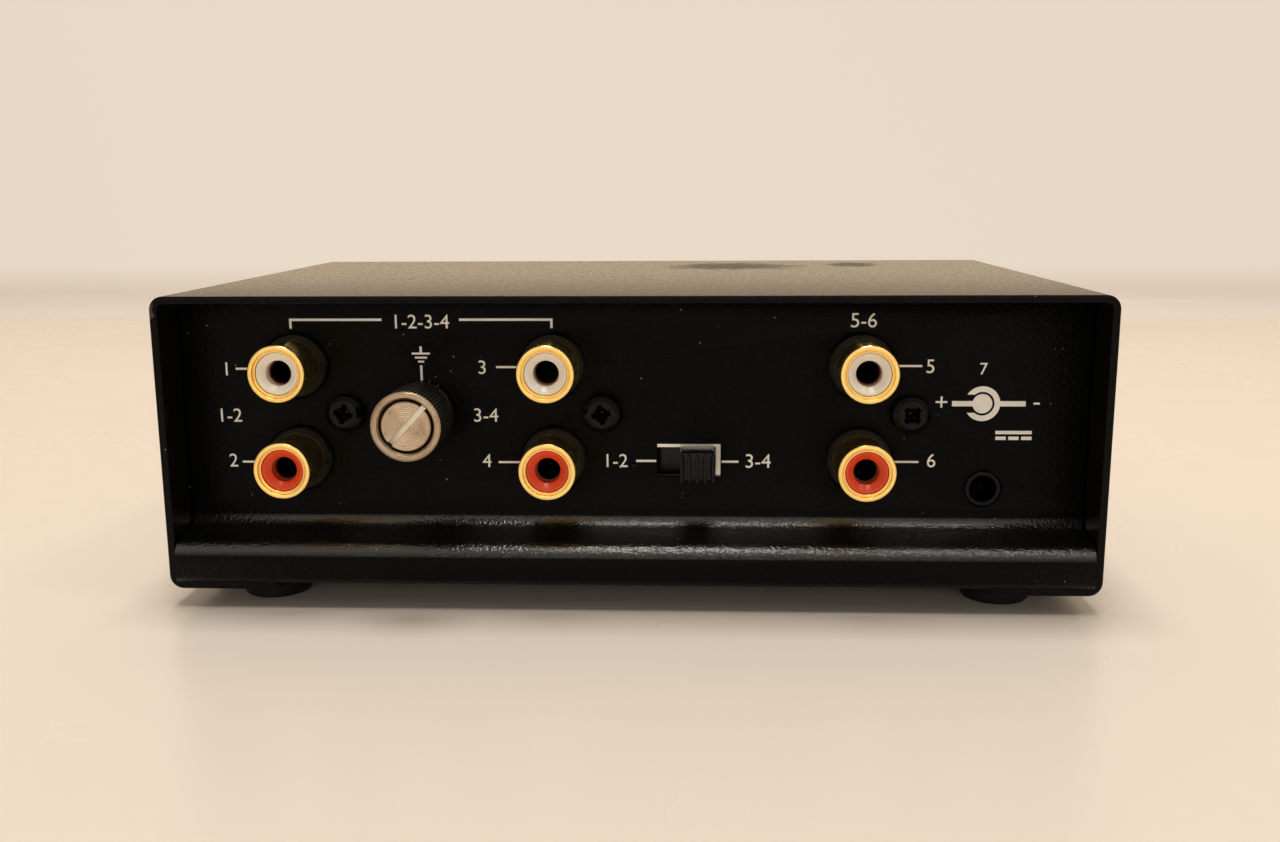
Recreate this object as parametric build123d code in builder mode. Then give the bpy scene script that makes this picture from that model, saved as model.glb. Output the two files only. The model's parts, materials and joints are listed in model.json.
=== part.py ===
from build123d import *
import os
from math import cos, radians, sin

# Phono preamplifier. Millimetres, +Z up; the jack side faces -Y and +X is to its right.
# The origin is the middle of the outline, on the surface that the feet stand on.

# ---------------------------------------------------------------- driving dimensions
# clearances shared by several pieces, and how far a cutting profile stands past what it cuts
fit_gap = 0.05
thread_gap = 0.05
screw_hole_gap = 0.1
cut_margin = 0.2

# sleeve: one bent sheet, open at both ends
sleeve_width = 136.0
sleeve_depth = 84.0
sleeve_height = 43.2
sleeve_sheet = 1.1
sleeve_bend = 2.0
flange_width = 17.2
flange_corner = 2.2

# feet and their screws
foot_height = 2.8
foot_radius = 5.3
foot_floor_radius = 4.9
foot_edge = 0.4
foot_web = 0.9
foot_from_side = 13.2
foot_from_end = 8.8
foot_screw_radius = 1.5
foot_screw_length = 4.4
foot_screw_head_radius = 2.6
foot_screw_head_height = 1.3
foot_screw_socket_radius = 1.2
foot_screw_socket_depth = 0.8
foot_recess_radius = 3.1
clinch_nut_radius = 2.9
clinch_nut_height = 2.4

# tray: one bent sheet with an S-shaped lip at each end
tray_sheet = 1.0
tray_side_gap = 0.3
tray_top_gap = 0.5
tray_bend_gap = 0.05
tray_heel_radius = 1.3
panel_recess = 7.0
lip_overhang = 1.2
lip_face_height = 3.0
lip_turn = 68.0
lip_crown_radius = 2.8
lip_hollow_radius = 2.0

# circuit board
board_height = 6.0
board_sheet = 1.6
board_side_gap = 4.6
board_end_gap = 0.6
board_corner = 1.5
standoff_radius = 2.4
board_screw_radius = 1.2
board_screw_head_radius = 2.2
board_screw_head_height = 1.5
board_screw_recess_span = 2.4
board_screw_recess_width = 0.6
board_screw_recess_depth = 0.8
board_screw_length = 5.0
board_hole_from_side = 2.8
board_hole_from_end = 4.4

# phono jacks: upper and lower in each column, with a panel screw beside them
left_column_from_side = 18.4
middle_column_x = -11.4
right_column_to_power = 18.15
jack_pair_lift = 3.75
jack_pitch = 14.0
jack_reach = 9.0
shell_radius = 4.1
shell_bore_radius = 3.1
shell_rim_round = 0.45
shell_rim_chamfer = 0.35
shell_tail = 2.5
shell_shank_radius = 3.9
shell_seat_gap = 0.1
collar_radius = 4.9
collar_proud = 0.6
collar_chamfer = 0.3
collar_hole_gap = 0.2
insulator_set_back = 0.5
insulator_mouth_radius = 1.75
insulator_lead_in = 0.55
insulator_edge = 0.2
contact_radius = 1.65
contact_wall = 0.3
contact_set_back = 2.7
contact_length = 12.0
contact_tail_gap = 0.8
contact_tail_step = 2.0
contact_tail_drop = 0.1
tail_width = 1.2
ground_plate_sheet = 0.5
ground_plate_width = 9.6
jack_screw_offset = 7.25
jack_screw_radius = 1.4
jack_screw_hole_gap = 0.2
jack_screw_length = 8.0
pan_head_radius = 2.85
pan_head_height = 1.9
pan_recess_width = 0.8
pan_recess_span = 3.4
pan_recess_depth = 1.1
block_left = 7.0
block_right = 10.8
block_top = 6.6
block_depth = 12.0
block_wall = 1.4
block_corner = 0.8
block_pocket_gap = 0.3
block_slot_gap = 0.1
block_slot_over = 1.0

# slide switch
switch_x = 8.7
switch_low = 0.15
slot_width = 9.4
slot_height = 4.95
frame_sheet = 0.4
frame_width = 16.4
frame_height = 8.4
frame_depth = 5.4
frame_corner = 0.8
frame_opening_side_gap = 0.5
frame_opening_gap = 0.15
knob_width = 5.05
knob_height = 4.2
knob_reach = 4.8
knob_edge = 0.25
knob_rib = 0.38
knob_rib_rise = 0.3
knob_rib_count = 5
switch_travel = 2.5
slider_gap = 0.15
slider_wing_width = 11.0
slider_wing_height = 4.1
slider_wing_lift = 1.25
slider_plate = 1.6
switch_base_sheet = 1.4
terminal_row = 2.0
terminal_width = 0.9
terminal_sheet = 0.4
terminal_proud = 0.5
terminal_bend = 1.0
terminal_step = 2.0
bridge_gap = 0.1

# power inlet
power_from_side = 16.05
power_above_board = 4.4
power_barrel_radius = 2.65
power_barrel_proud = 0.3
power_barrel_edge = 0.25
power_hole_gap = 0.15
power_bore_radius = 1.95
power_bore_depth = 9.5
power_pin_radius = 0.65
power_pin_set_back = 1.4
power_pin_tip = 0.4
power_contact_over = 1.0
power_body_width = 9.4
power_body_height = 8.8
power_body_depth = 12.5

# ground terminal
left_column_to_ground = 18.8
post_shoulder_radius = 4.0
post_shoulder = 0.8
post_radius = 2.5
post_shank_radius = 2.0
post_shank_length = 7.0
post_hole_gap = 0.1
washer_radius = 4.7
washer_sheet = 0.8
nut_radius = 5.0
nut_length = 9.95
nut_seat_gap = 0.05
nut_fit = 0.05
nut_teeth = 64
nut_tooth_depth = 0.16
nut_tooth_rise = 0.35
nut_counterbore_radius = 3.85
nut_mouth_chamfer = 0.45
nut_back_chamfer = 0.5
thread_pitch = 0.8
nut_turns = 3
nut_stop_gap = 0.2
retainer_head_radius = 3.6
retainer_head_height = 2.4
retainer_set_back = 0.3
retainer_shank_radius = 1.4
retainer_shank_length = 5.0
retainer_end_gap = 0.3
retainer_slot = 0.75
retainer_slot_depth = 1.1
retainer_slot_angle = 47.0
retainer_edge = 0.25
star_washer_sheet = 0.5
star_washer_teeth = 12
star_notch_width = 0.5
star_notch_depth = 0.4
tag_sheet = 0.5
tag_bend_height = 3.0
tag_reach = 3.5
hex_nut_height = 2.6
hex_nut_radius = 4.0

# light in the front panel
light_x = 0.0
light_radius = 1.5
light_flange_radius = 1.9
light_flange = 1.0
light_proud = 1.4
light_above_board = 5.0
light_hole_gap = 0.15
light_lead = 0.5
light_lead_pitch = 2.54
light_lead_reach = 2.5

# board parts
pin_through = 1.5
tail_hole_radius = 0.75
# rows are measured from the back of the jack blocks, except where they are measured from an edge
supply_radius = 5.0
supply_height = 16.0
supply_edge = 0.8
supply_from_side = 11.5
supply_first_row = 13.0
supply_pitch = 13.0
supply_count = 3
coupling_radius = 3.15
coupling_height = 11.0
coupling_edge = 0.6
coupling_row = 40.8
coupling_first_x = -39.5
coupling_pitch = 11.0
coupling_count = 6
film_length = 10.0
film_width = 4.0
film_height = 8.0
film_edge = 0.4
film_first_row = 13.0
film_row_pitch = 18.0
film_first_x = -50.0
film_pitch = 15.0
film_count = 5
disc_radius = 2.5
disc_sheet = 2.2
disc_lift = 1.0
disc_row = 36.0
disc_first_x = -52.5
disc_pitch = 13.5
disc_count = 6
chip_length = 9.6
chip_width = 6.3
chip_height = 3.3
chip_bevel = 0.7
chip_notch_radius = 0.8
chip_notch_depth = 0.4
chip_row = 22.0
chip_first_x = -35.0
chip_pitch = 27.0
chip_count = 3
socket_height = 2.6
socket_end = 0.3
socket_side = 0.8
socket_bar = 1.5
socket_rail = 1.2
transistor_radius = 2.4
transistor_height = 4.8
transistor_lift = 2.5
transistor_flat = 1.0
transistor_lead = 0.45
transistor_lead_pitch = 1.27
transistor_row = 5.0
transistor_first_x = -52.6
transistor_pitch = 5.4
transistor_count = 4
resistor_radius = 1.15
resistor_length = 6.2
resistor_row = 5.5
resistor_first_x = -32.5
resistor_pitch = 5.0
resistor_count = 12
wire_span = 8.4
wire_body_lift = 0.2
wire_radius = 0.3
diode_radius = 1.3
diode_length = 5.0
diode_edge = 0.2
diode_from_front = 5.4
diode_from_side = 21.8
diode_pitch = 3.1
diode_count = 2
regulator_width = 10.0
regulator_depth = 4.4
regulator_lift = 3.5
regulator_body_height = 9.0
regulator_tab_height = 15.2
regulator_tab = 1.3
regulator_hole_gap = 0.3
regulator_leg_width = 0.8
regulator_leg_sheet = 0.5
regulator_leg_pitch = 2.54
regulator_leg_set_in = 0.8
regulator_screw_radius = 1.45
regulator_screw_end = 0.8
regulator_screw_head_radius = 2.75
regulator_screw_head_height = 1.6
regulator_screw_slot = 0.7
sink_width = 16.0
sink_depth = 10.0
sink_height = 20.0
sink_sheet = 1.2
sink_from_side = 32.0
sink_from_front = 6.4
choke_radius = 3.8
choke_waist_radius = 3.0
choke_height = 9.0
choke_flange = 1.8
choke_from_side = 21.5
choke_row = 14.2

# ---------------------------------------------------------------- places worked out from them
nut_overhang = post_shoulder + washer_sheet + nut_seat_gap + nut_length - panel_recess
near_edge = -(sleeve_depth + lip_overhang - nut_overhang) / 2
far_edge = near_edge + sleeve_depth
middle_y = (near_edge + far_edge) / 2
panel_face = near_edge + panel_recess
panel_back = panel_face + tray_sheet
front_face = far_edge - panel_recess
front_back = front_face - tray_sheet

sleeve_base = foot_height
sleeve_top = sleeve_base + sleeve_height
tray_base = sleeve_base + sleeve_sheet
tray_floor = tray_base + tray_sheet
tray_top = sleeve_top - sleeve_sheet - tray_top_gap
tray_half_width = sleeve_width / 2 - sleeve_sheet - tray_side_gap
board_half_width = tray_half_width - board_side_gap
board_half_depth = (front_back - panel_back) / 2 - board_end_gap
board_front = middle_y + board_half_depth
board_base = tray_floor + board_height
board_top = board_base + board_sheet
pin_end = board_base - pin_through

sides = (-1, 1)
foot_x = sleeve_width / 2 - foot_from_side
foot_y = sleeve_depth / 2 - foot_from_end
foot_places = [(a * foot_x, middle_y + b * foot_y) for a in sides for b in sides]
board_hole_x = board_half_width - board_hole_from_side
board_hole_y = board_half_depth - board_hole_from_end
board_hole_places = [(a * board_hole_x, middle_y + b * board_hole_y) for a in sides for b in sides]

power_x = sleeve_width / 2 - power_from_side
left_column_x = left_column_from_side - sleeve_width / 2
right_column_x = power_x - right_column_to_power
ground_x = left_column_x + left_column_to_ground
jack_columns = {"left": left_column_x, "middle": middle_column_x, "right": right_column_x}
jack_middle = sleeve_base + sleeve_height / 2 + jack_pair_lift
jack_rows = {"upper": jack_middle + jack_pitch / 2, "lower": jack_middle - jack_pitch / 2}
switch_z = jack_rows["lower"] - switch_low
power_z = board_top + power_above_board
light_z = board_top + light_above_board
knob_x = switch_x + switch_travel / 2

os.makedirs("parts", exist_ok=True)


def save(name, part):
    part.label = name
    export_step(part, f"parts/{name}.step")


def facing(y):
    """Plane at depth y that looks out of the jack side: local x is +X and local y is +Z."""
    return Plane.XZ.offset(-y)


def along_y(x, z):
    """Plane for turned profiles: local x is the radius and local y is +Y; the axis goes with it."""
    return Plane(origin=(x, 0, z)), Axis((x, 0, z), (0, 1, 0))


def upright(x, y):
    """Plane for turned profiles on a vertical axis: local x is the radius and local y is +Z."""
    return Plane(origin=(x, y, 0), x_dir=(1, 0, 0), z_dir=(0, -1, 0)), Axis((x, y, 0), (0, 0, 1))


# ---------------------------------------------------------------- sleeve
with BuildPart() as sleeve:
    with BuildSketch(facing(far_edge)):
        with Locations((0, sleeve_base + sleeve_height / 2)):
            RectangleRounded(sleeve_width, sleeve_height, sleeve_bend)
            RectangleRounded(
                sleeve_width - 2 * sleeve_sheet,
                sleeve_height - 2 * sleeve_sheet,
                sleeve_bend - sleeve_sheet,
                mode=Mode.SUBTRACT,
            )
        with Locations((0, sleeve_base)):
            Rectangle(sleeve_width - 2 * flange_width, 3 * sleeve_sheet, mode=Mode.SUBTRACT)
    extrude(amount=sleeve_depth)
    flange_edge = sleeve_width / 2 - flange_width
    upright_edges = sleeve.edges().filter_by(Axis.Z)
    inner_corners = upright_edges.filter_by(lambda e: abs(abs(e.center().X) - flange_edge) < 0.01)
    chamfer(inner_corners, flange_corner)
    with BuildSketch(Plane.XY.offset(sleeve_base)):
        with Locations(*foot_places):
            Circle(foot_screw_radius + screw_hole_gap)
    extrude(amount=sleeve_sheet, mode=Mode.SUBTRACT)
save("sleeve_cover", sleeve.part)

# ---------------------------------------------------------------- tray
lip_front = near_edge - lip_overhang
turned_depth = (lip_crown_radius + lip_hollow_radius) * (1 - cos(radians(lip_turn)))
tray_floor_ease = sleeve_bend - sleeve_sheet - tray_side_gap + tray_bend_gap
slope_length = (panel_recess + lip_overhang - turned_depth) / sin(radians(lip_turn))

with BuildPart() as tray:
    with BuildSketch(Plane.YZ):
        with BuildLine():
            floor_line = Line((middle_y, tray_base), (lip_front + tray_heel_radius, tray_base))
            heel = JernArc(floor_line @ 1, (-1, 0), tray_heel_radius, -90)
            face_line = Line(heel @ 1, (lip_front, tray_base + lip_face_height))
            crown = JernArc(face_line @ 1, (0, 1), lip_crown_radius, -lip_turn)
            slope = PolarLine(crown @ 1, slope_length, 90 - lip_turn)
            hollow = JernArc(slope @ 1, slope % 1, lip_hollow_radius, lip_turn)
            Line(hollow @ 1, (panel_face, tray_top))
            offset(amount=tray_sheet, side=Side.RIGHT)
        make_face()
    extrude(amount=tray_half_width, both=True)
    mirror(about=facing(middle_y))
    underside = tray.faces().filter_by(Plane.XY).sort_by(Axis.Z)[0]
    chamfer(underside.edges().filter_by(Axis.Y), tray_floor_ease)
    with BuildSketch(facing(panel_face)):
        for column_x in jack_columns.values():
            with Locations(*[(column_x, row_z) for row_z in jack_rows.values()]):
                Circle(collar_radius + collar_hole_gap)
            with Locations((column_x + jack_screw_offset, jack_middle)):
                Circle(jack_screw_radius + jack_screw_hole_gap)
        with Locations((switch_x, switch_z)):
            Rectangle(slot_width, slot_height)
        with Locations((power_x, power_z)):
            Circle(power_barrel_radius + power_hole_gap)
        with Locations((ground_x, jack_middle)):
            Circle(post_shank_radius + post_hole_gap)
    extrude(amount=-tray_sheet, mode=Mode.SUBTRACT)
    with BuildSketch(facing(front_face)):
        with Locations((light_x, light_z)):
            Circle(light_radius + light_hole_gap)
    extrude(amount=tray_sheet, mode=Mode.SUBTRACT)
    with BuildSketch(Plane.XY.offset(tray_base)):
        with Locations(*foot_places):
            Circle(foot_screw_radius + screw_hole_gap)
        with Locations(*board_hole_places):
            Circle(board_screw_radius + screw_hole_gap)
    extrude(amount=tray_sheet, mode=Mode.SUBTRACT)
save("chassis_tray", tray.part)

# ---------------------------------------------------------------- feet and their screws
foot_web_base = foot_height - foot_web
foot_edge_radius = foot_floor_radius - foot_edge
with BuildPart() as feet:
    for foot_place in foot_places:
        plane, axis = upright(*foot_place)
        with BuildSketch(plane):
            with BuildLine():
                Polyline(
                    (foot_floor_radius, foot_edge),
                    (foot_radius, foot_height),
                    (foot_screw_radius + screw_hole_gap, foot_height),
                    (foot_screw_radius + screw_hole_gap, foot_web_base),
                    (foot_recess_radius, foot_web_base),
                    (foot_recess_radius, 0),
                    (foot_edge_radius, 0),
                )
                RadiusArc((foot_edge_radius, 0), (foot_floor_radius, foot_edge), -foot_edge)
            make_face()
        revolve(axis=axis)
save("rubber_feet", feet.part)

with BuildPart() as foot_screws:
    with BuildSketch(Plane.XY.offset(foot_web_base)):
        with Locations(*foot_places):
            Circle(foot_screw_radius)
    extrude(amount=foot_screw_length)
    with BuildSketch(Plane.XY.offset(foot_web_base - foot_screw_head_height)):
        with Locations(*foot_places):
            Circle(foot_screw_head_radius)
    extrude(amount=foot_screw_head_height)
    with BuildSketch(Plane.XY.offset(foot_web_base - foot_screw_head_height)):
        with Locations(*foot_places):
            RegularPolygon(foot_screw_socket_radius, 6)
    extrude(amount=foot_screw_socket_depth, mode=Mode.SUBTRACT)
save("foot_screws", foot_screws.part)

with BuildPart() as clinch_nuts:
    with BuildSketch(Plane.XY.offset(tray_floor)):
        with Locations(*foot_places):
            Circle(clinch_nut_radius)
            Circle(foot_screw_radius + thread_gap, mode=Mode.SUBTRACT)
    extrude(amount=clinch_nut_height)
save("clinch_nuts", clinch_nuts.part)

# ---------------------------------------------------------------- circuit board and what holds it
with BuildPart() as standoffs:
    with BuildSketch(Plane.XY.offset(tray_floor)):
        with Locations(*board_hole_places):
            RegularPolygon(standoff_radius, 6)
            Circle(board_screw_radius + thread_gap, mode=Mode.SUBTRACT)
    extrude(amount=board_height)
save("board_standoffs", standoffs.part)

with BuildPart() as board_screws:
    with BuildSketch(Plane.XY.offset(board_top)):
        with Locations(*board_hole_places):
            Circle(board_screw_head_radius)
    extrude(amount=board_screw_head_height)
    with BuildSketch(Plane.XY.offset(board_top - board_screw_length)):
        with Locations(*board_hole_places):
            Circle(board_screw_radius)
    extrude(amount=board_screw_length)
    with BuildSketch(Plane.XY.offset(board_top + board_screw_head_height)):
        with Locations(*board_hole_places):
            Rectangle(board_screw_recess_span, board_screw_recess_width)
            Rectangle(board_screw_recess_width, board_screw_recess_span)
    extrude(amount=-board_screw_recess_depth, mode=Mode.SUBTRACT)
save("board_screws", board_screws.part)


# ---------------------------------------------------------------- phono jacks
collar_front = panel_face - collar_proud
shell_front = panel_face - jack_reach
shell_step = collar_front - shell_seat_gap
shell_back = panel_back + shell_tail
plate_front = shell_back + fit_gap
plate_back = plate_front + ground_plate_sheet
insulator_front = shell_front + insulator_set_back
contact_front = shell_front + contact_set_back
contact_back = contact_front + contact_length
contact_outer = contact_radius + contact_wall
insulator_radius = shell_bore_radius - fit_gap
block_face = panel_back
block_back = block_face + block_depth
pocket_front = contact_back + block_pocket_gap
block_z = jack_rows["upper"] + block_top


def jack_block(column_x):
    """Moulded block of one column: two collars through the panel, stepped bores, a pocket at the back."""
    block_x = column_x + (block_right - block_left) / 2
    block_width = block_left + block_right
    with BuildPart() as block:
        with BuildSketch(facing(block_back)):
            with Locations((block_x, (board_top + block_z) / 2)):
                RectangleRounded(block_width, block_z - board_top, block_corner)
        extrude(amount=block_depth)
        with BuildSketch(facing(block_face)):
            with Locations(*[(column_x, row_z) for row_z in jack_rows.values()]):
                Circle(collar_radius)
        extrude(amount=block_face - collar_front)
        rims = block.edges().filter_by(GeomType.CIRCLE).group_by(Axis.Y)[0]
        chamfer(rims, collar_chamfer)
        with BuildSketch(facing(collar_front)):
            with Locations(*[(column_x, row_z) for row_z in jack_rows.values()]):
                Circle(shell_shank_radius + fit_gap)
        extrude(amount=collar_front - shell_back, mode=Mode.SUBTRACT)
        with BuildSketch(facing(shell_back)):
            with Locations(*[(column_x, row_z) for row_z in jack_rows.values()]):
                Circle(insulator_radius + fit_gap)
        extrude(amount=shell_back - pocket_front, mode=Mode.SUBTRACT)
        slot_top = jack_rows["upper"] + shell_shank_radius + block_slot_over
        with BuildSketch(facing(shell_back)):
            with Locations((column_x, (board_top + slot_top) / 2)):
                Rectangle(ground_plate_width + 2 * block_slot_gap, slot_top - board_top)
        extrude(amount=shell_back - plate_back - fit_gap, mode=Mode.SUBTRACT)
        pocket_top = block_z - block_wall
        with BuildSketch(facing(pocket_front)):
            with Locations((block_x, (board_top + pocket_top) / 2)):
                Rectangle(block_width - 2 * block_wall, pocket_top - board_top)
        extrude(amount=pocket_front - block_back, mode=Mode.SUBTRACT)
        with BuildSketch(facing(block_face)):
            with Locations((column_x + jack_screw_offset, jack_middle)):
                Circle(jack_screw_radius + thread_gap)
        extrude(amount=-block_depth, mode=Mode.SUBTRACT)
    return block.part


def jack_shell(column_x, row_z):
    """Turned shell: a tube with a rounded rim, and a thinner shank that goes into the block."""
    plane, axis = along_y(column_x, row_z)
    with BuildPart() as shell:
        with BuildSketch(plane):
            with BuildLine():
                Polyline(
                    (shell_radius, shell_front + shell_rim_round),
                    (shell_radius, shell_step),
                    (shell_shank_radius, shell_step),
                    (shell_shank_radius, shell_back),
                    (shell_bore_radius, shell_back),
                    (shell_bore_radius, shell_front + shell_rim_chamfer),
                    (shell_bore_radius + shell_rim_chamfer, shell_front),
                    (shell_radius - shell_rim_round, shell_front),
                )
                RadiusArc(
                    (shell_radius - shell_rim_round, shell_front),
                    (shell_radius, shell_front + shell_rim_round),
                    -shell_rim_round,
                )
            make_face()
        revolve(axis=axis)
    return shell.part


def insulators(row_z):
    """The insulators of one row: a conical mouth, then a seat for the contact."""
    with BuildPart() as sleeves:
        for column_x in jack_columns.values():
            plane, axis = along_y(column_x, row_z)
            with BuildSketch(plane):
                with BuildLine():
                    Polyline(
                        (insulator_radius, insulator_front + insulator_edge),
                        (insulator_radius - insulator_edge, insulator_front),
                        (insulator_mouth_radius + insulator_lead_in, insulator_front),
                        (insulator_mouth_radius, insulator_front + insulator_lead_in),
                        (insulator_mouth_radius, contact_front),
                        (contact_outer + fit_gap, contact_front),
                        (contact_outer + fit_gap, contact_back),
                        (insulator_radius, contact_back),
                        close=True,
                    )
                make_face()
            revolve(axis=axis)
    return sleeves.part


for side, column_x in jack_columns.items():
    save(f"jack_block_{side}", jack_block(column_x))
    for row, row_z in jack_rows.items():
        save(f"jack_shell_{side}_{row}", jack_shell(column_x, row_z))

save("white_insulators", insulators(jack_rows["upper"]))
save("red_insulators", insulators(jack_rows["lower"]))

tail_places = []
with BuildPart() as contacts:
    for column_x in jack_columns.values():
        for step, row_z in enumerate(sorted(jack_rows.values())):
            tail_y = contact_back + contact_tail_gap + step * contact_tail_step
            tail_top = row_z + contact_outer - contact_tail_drop
            tail_places.append((column_x, tail_y + contact_wall / 2))
            with BuildSketch(facing(contact_back)):
                with Locations((column_x, row_z)):
                    Circle(contact_outer)
                    Circle(contact_radius, mode=Mode.SUBTRACT)
            extrude(amount=contact_length)
            with BuildSketch(facing(tail_y)):
                with Locations((column_x, tail_top - contact_wall / 2)):
                    Rectangle(tail_width, contact_wall)
            extrude(amount=tail_y - contact_back + contact_wall)
            with BuildSketch(facing(tail_y)):
                with Locations((column_x, (tail_top + pin_end) / 2)):
                    Rectangle(tail_width, tail_top - pin_end)
            extrude(amount=-contact_wall)
save("centre_contacts", contacts.part)

plate_top = jack_rows["upper"] + shell_shank_radius
plate_leg = ground_plate_width / 2 - tail_width
with BuildPart() as ground_plates:
    for column_x in jack_columns.values():
        tail_places.append((column_x - plate_leg, (plate_front + plate_back) / 2))
        with BuildSketch(facing(plate_back)):
            with Locations((column_x, (plate_top + board_top) / 2)):
                Rectangle(ground_plate_width, plate_top - board_top)
            with Locations((column_x - plate_leg, (board_top + pin_end) / 2)):
                Rectangle(tail_width, board_top - pin_end)
            with Locations(*[(column_x, row_z) for row_z in jack_rows.values()]):
                Circle(insulator_radius + screw_hole_gap, mode=Mode.SUBTRACT)
        extrude(amount=ground_plate_sheet)
save("ground_plates", ground_plates.part)

with BuildPart() as jack_screws:
    for column_x in jack_columns.values():
        place = (column_x + jack_screw_offset, jack_middle)
        with BuildSketch(facing(panel_face)):
            with Locations(place):
                Circle(jack_screw_radius)
        extrude(amount=-jack_screw_length)
        with BuildSketch(facing(panel_face)):
            with Locations(place):
                Circle(pan_head_radius)
        extrude(amount=pan_head_height)
    head_rims = jack_screws.edges().filter_by(GeomType.CIRCLE).group_by(Axis.Y)[0]
    fillet(head_rims, pan_head_height / 2)
    for column_x in jack_columns.values():
        with BuildSketch(facing(panel_face - pan_head_height)):
            with Locations((column_x + jack_screw_offset, jack_middle)):
                Rectangle(pan_recess_span, pan_recess_width, rotation=45)
                Rectangle(pan_recess_width, pan_recess_span, rotation=45)
        extrude(amount=-pan_recess_depth, mode=Mode.SUBTRACT)
save("jack_screws", jack_screws.part)

# ---------------------------------------------------------------- slide switch
frame_front = panel_back
frame_inside = frame_front + frame_sheet
frame_back = frame_front + frame_depth
base_front = frame_back - switch_base_sheet
opening_width = knob_width + switch_travel + 2 * frame_opening_side_gap
opening_height = knob_height + 2 * frame_opening_gap
opening_z = switch_z - (slot_height - opening_height) / 2
tab_x = (frame_width - frame_sheet) / 2
inside_width = frame_width - 2 * frame_sheet
inside_height = frame_height - 2 * frame_sheet

with BuildPart() as frame:
    with BuildSketch(facing(frame_back)):
        with Locations((switch_x, switch_z)):
            RectangleRounded(frame_width, frame_height, frame_corner)
            Rectangle(inside_width, inside_height, mode=Mode.SUBTRACT)
    extrude(amount=frame_depth)
    with BuildSketch(facing(frame_inside)):
        with Locations((switch_x, switch_z)):
            RectangleRounded(frame_width, frame_height, frame_corner)
        with Locations((switch_x, opening_z)):
            Rectangle(opening_width, opening_height, mode=Mode.SUBTRACT)
    extrude(amount=frame_sheet)
    tab_y = (frame_inside + base_front) / 2
    for tab_side in sides:
        tail_places.append((switch_x + tab_side * tab_x, tab_y))
        with BuildSketch(Plane.XY.offset(pin_end)):
            with Locations((switch_x + tab_side * tab_x, tab_y)):
                Rectangle(frame_sheet, tail_width)
        extrude(amount=switch_z - pin_end)
save("switch_frame", frame.part)

slider_front = frame_inside + slider_gap
slider_back = slider_front + slider_plate
knob_z = opening_z
knob_front = panel_face - knob_reach
with BuildPart() as slider:
    with BuildSketch(facing(slider_back)):
        with Locations((knob_x, knob_z)):
            Rectangle(knob_width, knob_height)
    extrude(amount=slider_back - knob_front - knob_rib_rise)
    with BuildSketch(facing(slider_back)):
        with Locations((knob_x, knob_z + slider_wing_lift)):
            Rectangle(slider_wing_width, slider_wing_height)
    extrude(amount=slider_plate)
    crown_faces = slider.faces().filter_by(Axis.Y).sort_by(Axis.Y)[0]
    fillet(crown_faces.edges(), knob_edge)
    rib_pitch = (knob_width - knob_rib) / (knob_rib_count - 1)
    with BuildSketch(facing(knob_front + knob_rib_rise)):
        with Locations((knob_x, knob_z)), GridLocations(rib_pitch, 1, knob_rib_count, 1):
            Rectangle(knob_rib, knob_height - 2 * knob_edge)
    extrude(amount=knob_rib_rise)
save("switch_slider", slider.part)

with BuildPart() as base:
    with BuildSketch(facing(base_front)):
        with Locations((switch_x, switch_z)):
            Rectangle(inside_width - 2 * fit_gap, inside_height - 2 * fit_gap)
        with Locations((switch_x, switch_z)), GridLocations(switch_travel, 2 * terminal_row, 3, 2):
            Rectangle(terminal_width + 2 * fit_gap, terminal_sheet + 2 * fit_gap, mode=Mode.SUBTRACT)
    extrude(amount=-switch_base_sheet)
save("switch_base", base.part)

with BuildPart() as terminals:
    for step, row_z in enumerate((switch_z - terminal_row, switch_z + terminal_row)):
        bend_y = frame_back + terminal_bend + terminal_step * step
        for terminal_x in (switch_x - switch_travel, switch_x, switch_x + switch_travel):
            tail_places.append((terminal_x, bend_y + terminal_sheet / 2))
            with BuildSketch(facing(bend_y + terminal_sheet)):
                with Locations((terminal_x, row_z)):
                    Rectangle(terminal_width, terminal_sheet)
            extrude(amount=bend_y + terminal_sheet - base_front + terminal_proud)
            with BuildSketch(facing(bend_y + terminal_sheet)):
                with Locations((terminal_x, (row_z + terminal_sheet / 2 + pin_end) / 2)):
                    Rectangle(terminal_width, row_z + terminal_sheet / 2 - pin_end)
            extrude(amount=terminal_sheet)
save("switch_terminals", terminals.part)

bridge_back = base_front - terminal_proud - bridge_gap
with BuildPart() as bridges:
    with BuildSketch(facing(bridge_back)):
        with Locations((knob_x, switch_z)), GridLocations(1, 2 * terminal_row, 1, 2):
            Rectangle(switch_travel + terminal_width, 2 * terminal_sheet)
    extrude(amount=bridge_back - slider_back)
save("switch_bridges", bridges.part)

# ---------------------------------------------------------------- power inlet
power_front = panel_face - power_barrel_proud
power_body_back = panel_back + power_body_depth
with BuildPart() as inlet:
    with BuildSketch(facing(panel_back)):
        with Locations((power_x, board_top + power_body_height / 2)):
            Rectangle(power_body_width, power_body_height)
    extrude(amount=-power_body_depth)
    with BuildSketch(facing(panel_back)):
        with Locations((power_x, power_z)):
            Circle(power_barrel_radius)
    extrude(amount=panel_back - power_front)
    rim = inlet.edges().filter_by(GeomType.CIRCLE).group_by(Axis.Y)[0]
    fillet(rim, power_barrel_edge)
    with BuildSketch(facing(power_front)):
        with Locations((power_x, power_z)):
            Circle(power_bore_radius)
    extrude(amount=-power_bore_depth, mode=Mode.SUBTRACT)
    with BuildSketch(facing(power_front + power_bore_depth)):
        with Locations((power_x, power_z)):
            Circle(power_pin_radius + fit_gap)
    extrude(amount=-power_body_depth, mode=Mode.SUBTRACT)
save("power_socket", inlet.part)

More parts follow.
